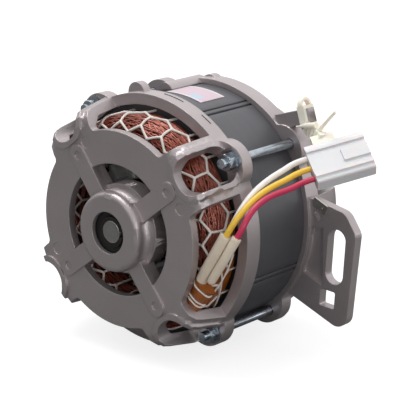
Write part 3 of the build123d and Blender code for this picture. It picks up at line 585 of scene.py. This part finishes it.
def tubes(name, runs, radius, roundness, cyclic=False, smooth=False):
    """One mesh of round tubes, each along a run of points in millimetres with a share of the radius."""
    curve = bpy.data.curves.new(name + "_runs", "CURVE")
    curve.dimensions = "3D"
    curve.bevel_depth = radius
    curve.bevel_resolution = roundness
    curve.use_fill_caps = not cyclic
    for run in runs:
        spline = curve.splines.new("NURBS" if smooth else "POLY")
        spline.points.add(len(run) - 1)
        for point, (place, share) in zip(spline.points, run):
            point.co = (*(Vector(place) * MM), 1.0)
            point.radius = share
        spline.use_cyclic_u = cyclic
        if smooth:
            spline.order_u = 3
            spline.use_endpoint_u = not cyclic
            spline.resolution_u = 8
    holder = bpy.data.objects.new(name + "_runs", curve)
    mesh = bpy.data.meshes.new_from_object(holder)
    mesh.name = name
    bpy.data.objects.remove(holder)
    bpy.data.curves.remove(curve)
    mesh.shade_smooth()
    return bpy.data.objects.new(name, mesh)


def plain(points):
    return [(point, 1.0) for point in points]


# End windings

def winding_point(end, run, angle, lift):
    """A point of an end winding's skin: run goes up its outer wall, over its end and down inside."""
    wall = WINDING_DEEP - WINDING_ROUND
    arc = WINDING_ROUND * math.pi / 2
    flat = WINDING_OUT_R - WINDING_IN_R - 2 * WINDING_ROUND
    if run < wall:
        radius, height, across, up = WINDING_OUT_R, run, 1.0, 0.0
    elif run < wall + arc:
        bend = (run - wall) / WINDING_ROUND
        across, up = math.cos(bend), math.sin(bend)
        radius = WINDING_OUT_R - WINDING_ROUND + WINDING_ROUND * across
        height = wall + WINDING_ROUND * up
    elif run < wall + arc + flat:
        radius = WINDING_OUT_R - WINDING_ROUND - (run - wall - arc)
        height, across, up = WINDING_DEEP, 0.0, 1.0
    elif run < wall + 2 * arc + flat:
        bend = (run - wall - arc - flat) / WINDING_ROUND
        across, up = -math.sin(bend), math.cos(bend)
        radius = WINDING_IN_R + WINDING_ROUND + WINDING_ROUND * across
        height = wall + WINDING_ROUND * up
    else:
        radius, height, across, up = WINDING_IN_R, wall - (run - wall - 2 * arc - flat), -1.0, 0.0
    radius += lift * across
    height = WINDING_START + height + lift * up
    turn = math.radians(angle)
    y = STACK_FACES[end] + OUTWARD[end] * height
    return (radius * math.cos(turn), y, radius * math.sin(turn))


def winding_length():
    wall = WINDING_DEEP - WINDING_ROUND
    return 2 * wall + WINDING_ROUND * math.pi + WINDING_OUT_R - WINDING_IN_R - 2 * WINDING_ROUND


def winding_hoops(end, chance):
    """Wires laid right round the winding, each with its own slow waves."""
    count = sizes().hoops
    total = winding_length()
    runs = []
    for k in range(count):
        base = (k + 0.5) / count * total
        waves = [(chance.uniform(*HOOP_SWAY), chance.randint(*HOOP_TIMES), chance.uniform(0, 2 * math.pi))
                 for _ in range(HOOP_WAVES)]
        lift = chance.uniform(*HOOP_LIFT)
        run = []
        for step in range(RING_STEPS):
            turn = 2 * math.pi * step / RING_STEPS
            off = sum(sway * math.sin(times * turn + phase) for sway, times, phase in waves)
            place = min(max(base + off, 0.0), total)
            run.append((winding_point(end, place, 360 * step / RING_STEPS, lift), 1.0))
        runs.append(run)
    return runs


def coil_ends(end, chance):
    """Each slot's coil end: wires that rise from the slot, cross over the winding and come down again."""
    reach = COIL_SPAN * 360 / SLOTS
    runs = []
    for slot in range(SLOTS):
        for wire in range(sizes().coil_wires):
            start = 360 / SLOTS * (slot + chance.uniform(*COIL_ASIDE))
            top = COIL_LOW + COIL_RISE * (wire + chance.uniform(*COIL_PLACE)) / sizes().coil_wires
            lift = chance.uniform(*COIL_LIFT)
            lean = chance.uniform(-COIL_LEAN, COIL_LEAN)
            run = []
            for step in range(COIL_STEPS + 1):
                share = step / COIL_STEPS
                rise = math.sin(math.pi * share) ** COIL_BLUNT_SHARE
                place = max(0.0, top * rise + lean * math.sin(2 * math.pi * share))
                sink = lift - CORE_SINK * (1 - rise)
                run.append((winding_point(end, place, start + reach * share, sink), 1.0))
            runs.append(run)
    return runs


def winding_core(end):
    """The body of wire under the outer wires, which takes the painted shade between them: a ring spun from
    its half section.
    """
    bm = bmesh.new()
    total = winding_length()
    places = [winding_point(end, total * k / CORE_STEPS, 0, -CORE_SINK) for k in range(CORE_STEPS + 1)]
    section = [bm.verts.new(Vector(place) * MM) for place in places]
    edges = [bm.edges.new(pair) for pair in zip(section, section[1:])]
    edges.append(bm.edges.new((section[-1], section[0])))
    bmesh.ops.spin(bm, geom=section + edges, cent=(0, 0, 0), axis=(0, 1, 0), angle=2 * math.pi,
                   steps=RING_STEPS, use_merge=True, use_normal_flip=False, use_duplicate=False)
    bmesh.ops.remove_doubles(bm, verts=bm.verts, dist=WELD)
    bmesh.ops.recalc_face_normals(bm, faces=bm.faces)
    return bm


def lacing_runs(end):
    """The lacing's net: zigzags round the winding, joined by legs, thicker where the cord is looped."""
    runs = []
    half = 180 / SLOTS
    for row, (low, high) in enumerate(LACING_ROWS):
        ring = []
        for k in range(2 * SLOTS):
            here, after = (low, high) if (k + row) % 2 == 0 else (high, low)
            for j in range(LACING_STEPS):
                share = j / LACING_STEPS
                place = here + (after - here) * share
                thick = LACING_KNOT_SHARE if j == 0 else 1.0
                ring.append((winding_point(end, place, half * (k + share), LACING_LIFT), thick))
        runs.append(ring)
    legs = []
    starts = [-WINDING_START] + [high for low, high in LACING_ROWS]
    stops = [low for low, high in LACING_ROWS] + [winding_length()]
    for row, (start, stop) in enumerate(zip(starts, stops)):
        for k in range(SLOTS):
            angle = half * (2 * k + (row % 2))
            count = LEG_STEPS if row < len(LACING_ROWS) else LAST_LEG_STEPS
            legs.append(plain([winding_point(end, start + (stop - start) * j / count, angle, LACING_LIFT)
                               for j in range(count + 1)]))
    return runs, legs


def slot_sides():
    """The straight wires in the slots, in rows from the slot's mouth to its foot."""
    near = STACK_FACES["front"] - WINDING_START
    far = STACK_FACES["rear"] + WINDING_START
    sides = []
    for slot in range(SLOTS):
        turn = math.radians(360 / SLOTS * slot)
        for row in range(SIDE_ROWS):
            radius = SIDE_FIRST_R + SIDE_ROW_STEP * row
            half = SIDE_ASIDE + SIDE_ASIDE_STEP * row
            narrow = row < SIDE_NARROW_ROWS
            for column in (-1, 1) if narrow else (-1, 0, 1):
                aside = column * half * (SIDE_NARROW_SHARE if narrow else 1)
                x = radius * math.cos(turn) - aside * math.sin(turn)
                z = radius * math.sin(turn) + aside * math.cos(turn)
                sides.append(plain([(x, near, z), (x, far, z)]))
    return sides


class MOTOR_OT_windings(bpy.types.Operator):
    """Wind both ends of the stator and fill its slots"""
    bl_idname = "motor.windings"
    bl_label = "Windings"

    def execute(self, context):
        copper, dark = enamelled_copper(), painted_gap_shade()
        for end, seed in WINDING_SEEDS.items():
            chance = random.Random(seed)
            # The core under the hoops is coloured as painted shade between the wires.
            core = piece_from(end + "_winding_body", winding_core(end), keep_flat=False)
            finish_piece(core, "stator", "enamelled_copper", [dark], end + "_winding_core")
            hoops = tubes(end + "_winding_hoops", winding_hoops(end, chance), sizes().wire / 2, 1, True)
            finish_piece(hoops, "stator", "enamelled_copper", [copper], end + "_end_winding")
            coils = tubes(end + "_coil_ends", coil_ends(end, chance), sizes().wire / 2, 1)
            finish_piece(coils, "stator", "enamelled_copper", [copper])
        bars = tubes("slot_coil_sides", slot_sides(), SIDE_WIRE_R * MM, 1)
        finish_piece(bars, "stator", "enamelled_copper", [copper], "slot_windings")
        keep_node("slot_liners", slot_paper())
        return {"FINISHED"}


class MOTOR_OT_lacing(bpy.types.Operator):
    """Lace both end windings with cotton cord"""
    bl_idname = "motor.lacing"
    bl_label = "Lacing"

    def execute(self, context):
        cord = cotton_cord()
        for end in STACK_FACES:
            rings, legs = lacing_runs(end)
            net = tubes(end + "_lacing_rings", rings, sizes().lacing / 2, 1, True)
            finish_piece(net, "stator", "glass_sleeving", [cord])
            ties = tubes(end + "_lacing_legs", legs, sizes().lacing / 2, 1)
            finish_piece(ties, "stator", "glass_sleeving", [cord])
        return {"FINISHED"}


def painted_rim_slit_shades():
    """The runs of the slits' painted shade, each along an arc of the rim."""
    slits = []
    for low, high in RIM_SLITS:
        turns = [math.radians(low + (high - low) * k / SLIT_STEPS) for k in range(SLIT_STEPS + 1)]
        slits.append(plain([(RIM_R * math.cos(turn), SLIT_Y, RIM_R * math.sin(turn)) for turn in turns]))
    return slits


class MOTOR_OT_castings(bpy.types.Operator):
    """Finish the two die cast end shields, and draw the slits in the front one's rim as strips of painted
    shade
    """
    bl_idname = "motor.castings"
    bl_label = "End shields"

    def execute(self, context):
        casting = die_cast_aluminium()
        for end in STACK_FACES:
            dressed_node(end + "_shield_casting", end + "_shield", "stator", "cast_aluminium", casting,
                         CASTING_SMOOTH_ANGLE)
        # The slits are thin near-black tubes half sunk in the rim: painted shade, not cut grooves.
        cuts = tubes("painted_rim_slit_shades", painted_rim_slit_shades(), SLIT_WIDE / 2 * MM, 1)
        finish_piece(cuts, "stator", "cast_aluminium", [slit_shadow()])
        return {"FINISHED"}


class MOTOR_OT_stack(bpy.types.Operator):
    """Finish the laminated stack and its blank label"""
    bl_idname = "motor.stack"
    bl_label = "Stack"

    def execute(self, context):
        dressed_node("laminated_stack", "stator_stack", "stator", "stack_steel", varnished_laminations())
        keep_node("rating_label", blank_label())
        return {"FINISHED"}


def wrap_point(share, turn, lift):
    """A point of the film wrapped round both sleeves' ends, from its foot up, pinched under each tie."""
    foot, top = Vector(WRAP_FOOT), Vector(WRAP_TOP)
    along = (top - foot).normalized()
    out = Vector((0.0, -1.0, 0.0))
    across = out.cross(along).normalized()
    pinch = sum(math.exp(-((share - tie) / WRAP_TIE_SHARE) ** 2) for tie in WRAP_TIES)
    creases = sum(size * math.sin(times * turn + climb * share) for size, times, climb in WRAP_CREASES)
    swell = 1 - WRAP_PINCH_SHARE * pinch + creases
    # The foot is drawn in to half its width, the root of a quarter.
    swell *= max(0.25, min(1.0, share / WRAP_FOOT_SHARE)) ** 0.5
    wide = (WRAP_WIDE[0] + WRAP_WIDE[1] * share) * swell + lift
    deep = (WRAP_DEEP[0] + WRAP_DEEP[1] * share) * swell + lift
    middle = foot + (top - foot) * share
    return middle + across * wide * math.cos(turn) + out * deep * math.sin(turn)


def film_tie(start, stop):
    """A cord over the film, from one angle and place on the winding's skin to another."""
    shares = [k / FILM_TIE_STEPS for k in range(FILM_TIE_STEPS + 1)]
    return plain([winding_point("front", start[1] + (stop[1] - start[1]) * share,
                                start[0] + (stop[0] - start[0]) * share, FILM_TIE_LIFT) for share in shares])


def film_sheet():
    """The film over the winding: a creased grid laid on the winding's skin."""
    chance = random.Random(FILM_SEED)
    waves = [[chance.uniform(*span) for span in FILM_CREASE_SPANS] for _ in range(FILM_CREASES)]
    bm = bmesh.new()
    bmesh.ops.create_grid(bm, x_segments=FILM_GRID[0], y_segments=FILM_GRID[1], size=0.5)
    for vert in bm.verts:
        share, up = vert.co.x + 0.5, vert.co.y + 0.5
        lift = FILM_LIFT + sum(FILM_CREASE * math.sin(a * share + b * up + c) for a, b, c in waves)
        reach = FILM_REACH + sum(size * math.sin(times * share) for size, times in FILM_EDGE)
        angle = FILM_ANGLE + FILM_SPAN * share
        vert.co = Vector(winding_point("front", FILM_FROM + reach * up, angle, lift)) * MM
    return bm


def film_wrap():
    """The film round the sleeves' ends: a closed cylinder, drawn out to its shape."""
    bm = bmesh.new()
    bmesh.ops.create_cone(bm, cap_ends=True, segments=WRAP_SIDES, radius1=1.0, radius2=1.0, depth=1.0)
    sides = [e for e in bm.edges if abs(e.verts[0].co.z - e.verts[1].co.z) > 0.5]
    bmesh.ops.subdivide_edges(bm, edges=sides, cuts=WRAP_CUTS)
    for vert in bm.verts:
        vert.co = wrap_point(vert.co.z + 0.5, math.atan2(vert.co.y, vert.co.x), 0.0) * MM
    return bm


class MOTOR_OT_film(bpy.types.Operator):
    """Lay the amber film over the winding and wrap it round the sleeves' ends"""
    bl_idname = "motor.film"
    bl_label = "Insulation film"

    def execute(self, context):
        film = amber_film()
        sheet = piece_from("insulation_film_sheet", film_sheet(), keep_flat=False)
        add_wall(sheet, FILM_WALL)
        finish_piece(sheet, "stator", "amber_film", [film], "insulation_film")
        wrap = piece_from("film_wrap", film_wrap(), WRAP_SMOOTH_ANGLE, keep_flat=False)
        finish_piece(wrap, "stator", "amber_film", [film])

        cord = cotton_cord()
        turns = [2 * math.pi * k / WRAP_TIE_STEPS for k in range(WRAP_TIE_STEPS + 1)]
        ties = [plain([wrap_point(share, turn, TIE_R) for turn in turns]) for share in WRAP_TIES]
        ties += [film_tie(start, stop) for start, stop in FILM_TIES]
        knots = tubes("film_ties", ties, TIE_R * MM, 2)
        finish_piece(knots, "stator", "glass_sleeving", [cord])
        return {"FINISHED"}


def connector_place():
    about_z, about_x, about_y = (
        Matrix.Rotation(math.radians(angle), 4, axis) for angle, axis in zip(CONNECTOR_TURN, "ZXY"))
    return Matrix.Translation(Vector(CONNECTOR_AT)) @ about_z @ about_x @ about_y


def lead_route(name):
    """From the connector's wire face to a little way inside the sleeve."""
    row, spread, sleeve = LEADS[name]
    place = connector_place()
    start = place @ Vector((-CONNECTOR_LENGTH / 2 + LEAD_ENTERS, 0, row * CAVITY_PITCH))
    clear = place @ Vector((-CONNECTOR_LENGTH / 2 - LEAD_STEP, 0, row * CAVITY_PITCH))
    mouth, inside = Vector(sleeve[0]), Vector(sleeve[1])
    outward = (mouth - inside).normalized()
    aside = Vector(SPREAD_WAY)
    aside = (aside - outward * aside.dot(outward)).normalized()
    end = mouth + aside * spread
    return [start, clear, *ROUTES[name], end + outward * LEAD_STEP, end, end - outward * LEAD_INSIDE]


def open_mouth(tube, mouth):
    """Takes the end cap off a sleeve's mouth, so that the leads run in."""
    bm = bmesh.new()
    bm.from_mesh(tube.data)
    caps = [f for f in bm.faces if len(f.verts) > 4]
    caps = [f for f in caps if (f.calc_center_median() - mouth).length < MOUTH_REACH * MM]
    bmesh.ops.delete(bm, geom=caps, context="FACES_ONLY")
    bm.to_mesh(tube.data)
    bm.free()


class MOTOR_OT_leads(bpy.types.Operator):
    """Run the three leads from the connector into their sleeves"""
    bl_idname = "motor.leads"
    bl_label = "Leads"

    def execute(self, context):
        tints = {"white": colours().white, "yellow": colours().yellow, "red": colours().red}
        for name in ROUTES:
            route = [plain(lead_route(name))]
            tube = tubes("lead_" + name + "_insulation", route, sizes().lead / 2, 4, smooth=True)
            material = pvc_insulation(name + "_pvc", tints[name])
            finish_piece(tube, "stator", name + "_insulation", [material], "lead_" + name)
        braid = glass_sleeving()
        for name, route, radius, shares in SLEEVES:
            tube = tubes("sleeve_" + name + "_braid", [list(zip(route, shares))], radius * MM, 5, smooth=True)
            open_mouth(tube, Vector(route[0]) * MM)
            add_wall(tube, SLEEVE_WALL)
            finish_piece(tube, "stator", "glass_sleeving", [braid], "sleeve_" + name)
        return {"FINISHED"}


class MOTOR_OT_connector(bpy.types.Operator):
    """Finish the connector, its blades and the clip that holds it, and draw the clip's thin arms"""
    bl_idname = "motor.connector"
    bl_label = "Connector"

    def execute(self, context):
        nylon = moulded_nylon("white_moulded_nylon", colours().nylon, 0.4)
        natural = moulded_nylon("natural_moulded_nylon", colours().clip, 0.2)
        dressed_node("connector_shell", "connector_housing", "stator", "white_nylon", nylon)
        dressed_node("cable_clip_moulding", "cable_clip", "stator", "clip_nylon", natural)
        arms = tubes("cable_clip_arms", [list(zip(*arm)) for arm in CLIP_ARMS], MM, 3)
        finish_piece(arms, "stator", "clip_nylon", [natural])
        keep_node("connector_terminals", tinned_brass())
        return {"FINISHED"}


class MOTOR_OT_rotor(bpy.types.Operator):
    """Finish the rotor, its cage, and the shaft with its retaining ring"""
    bl_idname = "motor.rotor"
    bl_label = "Rotor"

    def execute(self, context):
        cage, steel = cage_aluminium(), ground_steel()
        for end in STACK_FACES:
            dressed_node(end + "_cage_casting", end + "_rotor_cage", "rotor", "rotor_aluminium", cage)
        dressed_node("rotor_laminations", "rotor_core", "rotor", "rotor_steel", rotor_steel())
        dressed_node("shaft_turning", "shaft", "rotor", "shaft_steel", steel)
        dressed_node("retaining_ring_steel", "retaining_ring", "rotor", "shaft_steel", oiled_steel())
        return {"FINISHED"}


class MOTOR_OT_bearings(bpy.types.Operator):
    """Finish both ball bearings and the spring washer"""
    bl_idname = "motor.bearings"
    bl_label = "Bearings"

    def execute(self, context):
        steel, oiled, rubber = ground_steel(), oiled_steel(), seal_rubber()
        for end in STACK_FACES:
            obj = piece_from(end + "_bearing_ring", node_copy(end + "_bearing_outer"))
            finish_piece(obj, "stator", "bearing_steel", [oiled, rubber], end + "_bearing_outer")
            for face in obj.data.polygons:
                centre = face.center
                if abs(face.normal.y) > 0.9 and math.hypot(centre.x, centre.z) < SEAL_OUT_R * MM:
                    face.material_index = 1
            dressed_node(end + "_bearing_bore_ring", end + "_bearing_inner", "rotor", "bearing_steel", oiled)
            keep_node(end + "_ball_set", steel)
        dressed_node("spring_washer", "wave_washer", "stator", "shaft_steel", oiled)
        return {"FINISHED"}


def bolt_threads():
    """Low threads round the bolts' front ends, spun from a half section as screws."""
    bm = bmesh.new()
    rows = ((BOLT_R, 0.0), (BOLT_R + THREAD_PROUD, THREAD_PITCH / 2), (BOLT_R, THREAD_PITCH))
    for angle in BOLT_ANGLES:
        turn = math.radians(angle)
        x, z = BOLT_CIRCLE_R * math.cos(turn), BOLT_CIRCLE_R * math.sin(turn)
        centre = Vector((x, THREAD_FROM, z)) * MM
        section = [bm.verts.new(centre + Vector((radius, -along, 0)) * MM) for radius, along in rows]
        edges = [bm.edges.new(pair) for pair in zip(section, section[1:])]
        bmesh.ops.spin(bm, geom=section + edges, cent=centre, axis=(0, 1, 0),
                       dvec=(0, -THREAD_PITCH * MM / THREAD_STEPS, 0),
                       angle=2 * math.pi * THREAD_TURNS, steps=THREAD_STEPS * THREAD_TURNS,
                       use_merge=False, use_normal_flip=False, use_duplicate=False)
    bmesh.ops.remove_doubles(bm, verts=bm.verts, dist=WELD)
    bmesh.ops.recalc_face_normals(bm, faces=bm.faces)
    return bm


class MOTOR_OT_bolts(bpy.types.Operator):
    """Finish the through bolts, and draw the threads at their ends"""
    bl_idname = "motor.bolts"
    bl_label = "Bolts"

    def execute(self, context):
        zinc = zinc_plated_steel()
        for node in ("through_bolts", "bolt_nuts", "bolt_washers"):
            dressed_node(node + "_zinc", node, "stator", "zinc_steel", zinc)
        threads = piece_from("bolt_threads", bolt_threads(), keep_flat=False)
        finish_piece(threads, "stator", "zinc_steel", [zinc])
        return {"FINISHED"}


class MOTOR_OT_earth_tab(bpy.types.Operator):
    """Finish the earth tab on the flange"""
    bl_idname = "motor.earth_tab"
    bl_label = "Earth tab"

    def execute(self, context):
        dressed_node("earth_blade", "earth_tab", "stator", "tinned_brass", tinned_brass())
        return {"FINISHED"}


def white_card():
    """Card that looks white to the camera, and is a darker grey to all other light."""
    material = bpy.data.materials.new("white_card_floor")
    material.use_nodes = True
    tree = material.node_tree
    tree.nodes.clear()
    out = add_node(tree, "ShaderNodeOutputMaterial")
    card = add_node(tree, "ShaderNodeBsdfDiffuse", {"Color": linear("787878")})
    faint = add_node(tree, "ShaderNodeBsdfDiffuse", {"Color": (0.3, 0.3, 0.3, 1.0)})
    glow = add_node(tree, "ShaderNodeEmission", {"Strength": 0.8})
    seen = add_node(tree, "ShaderNodeAddShader", {0: faint.outputs[0], 1: glow.outputs[0]})
    path = add_node(tree, "ShaderNodeLightPath")
    mix = add_node(tree, "ShaderNodeMixShader", {
        0: path.outputs["Is Camera Ray"], 1: card.outputs[0], 2: seen.outputs[0]})
    tree.links.new(mix.outputs[0], out.inputs["Surface"])
    return material


def lay_floor(scene):
    bm = bmesh.new()
    bmesh.ops.create_grid(bm, x_segments=1, y_segments=1, size=FLOOR_SIZE)
    bmesh.ops.translate(bm, vec=(0, 0, CAD_BOX[0][2] - FLOOR_GAP), verts=bm.verts)
    floor = piece_from("floor", bm, keep_flat=False)
    scene.collection.objects.link(floor)
    floor.data.materials.append(white_card())


def light_sky(scene):
    """White to the camera, but as light dim in front and bright above and behind."""
    world = bpy.data.worlds.new("studio")
    scene.world = world
    world.use_nodes = True
    tree = world.node_tree
    tree.nodes.clear()
    out = add_node(tree, "ShaderNodeOutputWorld")
    path = add_node(tree, "ShaderNodeLightPath")
    either = add_node(tree, "ShaderNodeMath", {
        0: path.outputs["Is Camera Ray"], 1: path.outputs["Is Transmission Ray"]}, operation="MAXIMUM")
    way = add_node(tree, "ShaderNodeTexCoord").outputs["Generated"]
    lean = add_node(tree, "ShaderNodeVectorMath", {0: way, 1: SKY_WAY}, operation="DOT_PRODUCT")
    sky = add_node(tree, "ShaderNodeMapRange", {
        "Value": lean.outputs["Value"], "From Min": -0.2, "From Max": 0.8,
        "To Min": 0.16, "To Max": 1.1}, interpolation_type="SMOOTHSTEP")
    light = add_node(tree, "ShaderNodeBackground", {
        "Color": linear("FFFFFF"), "Strength": sky.outputs["Result"]})
    white = add_node(tree, "ShaderNodeBackground", {"Color": linear("FFFFFF"), "Strength": 1.0})
    mix = add_node(tree, "ShaderNodeMixShader", {
        0: either.outputs[0], 1: light.outputs[0], 2: white.outputs[0]})
    tree.links.new(mix.outputs[0], out.inputs["Surface"])


def hang_lamps(scene):
    for name, place, size, power in LAMPS:
        data = bpy.data.lights.new(name, "AREA")
        data.shape = "DISK"
        data.size = size
        data.energy = power
        lamp = bpy.data.objects.new(name, data)
        lamp.location = place
        lamp.rotation_euler = (Vector(place) - Vector(LAMPS_FACE)).to_track_quat("Z", "Y").to_euler()
        scene.collection.objects.link(lamp)


def set_camera(scene):
    """The camera of the photograph, aimed by its angles."""
    azimuth, elevation, roll = (math.radians(angle) for angle in CAMERA_ANGLES)
    back = Vector((math.sin(azimuth) * math.cos(elevation), -math.cos(azimuth) * math.cos(elevation),
                   math.sin(elevation)))
    flat_right = Vector((math.cos(azimuth), math.sin(azimuth), 0))
    flat_up = back.cross(flat_right)
    right = flat_right * math.cos(roll) + flat_up * math.sin(roll)
    up = flat_up * math.cos(roll) - flat_right * math.sin(roll)
    place = back * CAMERA_DISTANCE - right * CENTRE[0] - up * CENTRE[1] - Vector((0, SEAT_BACK, 0))
    data = bpy.data.cameras.new("camera")
    data.sensor_width = SENSOR
    data.lens = FOCAL_PIXELS / PICTURE * SENSOR
    data.clip_start, data.clip_end = CLIP
    camera = bpy.data.objects.new("camera", data)
    turn = Matrix((right, up, back)).transposed().to_4x4()
    camera.matrix_world = Matrix.Translation(place * MM) @ turn
    scene.collection.objects.link(camera)
    scene.camera = camera


class MOTOR_OT_stage(bpy.types.Operator):
    """Set the floor, the light and the camera"""
    bl_idname = "motor.stage"
    bl_label = "Stage"

    def execute(self, context):
        scene = context.scene
        lay_floor(scene)
        light_sky(scene)
        hang_lamps(scene)
        set_camera(scene)
        scene.view_settings.view_transform = "Standard"
        return {"FINISHED"}


OPERATORS = (
    MOTOR_OT_castings, MOTOR_OT_stack, MOTOR_OT_windings, MOTOR_OT_lacing, MOTOR_OT_film, MOTOR_OT_leads,
    MOTOR_OT_connector, MOTOR_OT_rotor, MOTOR_OT_bearings, MOTOR_OT_bolts, MOTOR_OT_earth_tab, MOTOR_OT_stage,
)


class MOTOR_PT_panel(bpy.types.Panel):
    """The motor's sizes, colours and pieces"""
    bl_idname = "MOTOR_PT_panel"
    bl_label = "Washing machine motor"
    bl_space_type = "VIEW_3D"
    bl_region_type = "UI"
    bl_category = "Motor"

    def draw(self, context):
        layout = self.layout
        for group in (context.scene.motor_sizes, context.scene.motor_colours):
            box = layout.box()
            for name in group.__annotations__:
                box.prop(group, name)
        for operator in OPERATORS:
            layout.operator(operator.bl_idname)


CLASSES = (MotorSizes, MotorColours, *OPERATORS, MOTOR_PT_panel)


def register():
    for cls in CLASSES:
        bpy.utils.register_class(cls)
    bpy.types.Scene.motor_sizes = bpy.props.PointerProperty(type=MotorSizes)
    bpy.types.Scene.motor_colours = bpy.props.PointerProperty(type=MotorColours)


def unregister():
    del bpy.types.Scene.motor_colours
    del bpy.types.Scene.motor_sizes
    for cls in reversed(CLASSES):
        bpy.utils.unregister_class(cls)


def main():
    register()
    bpy.ops.motor.castings()
    bpy.ops.motor.stack()
    bpy.ops.motor.windings()
    bpy.ops.motor.lacing()
    bpy.ops.motor.film()
    bpy.ops.motor.leads()
    bpy.ops.motor.connector()
    bpy.ops.motor.rotor()
    bpy.ops.motor.bearings()
    bpy.ops.motor.bolts()
    bpy.ops.motor.earth_tab()
    bpy.ops.motor.stage()


if __name__ == "__main__":
    main()
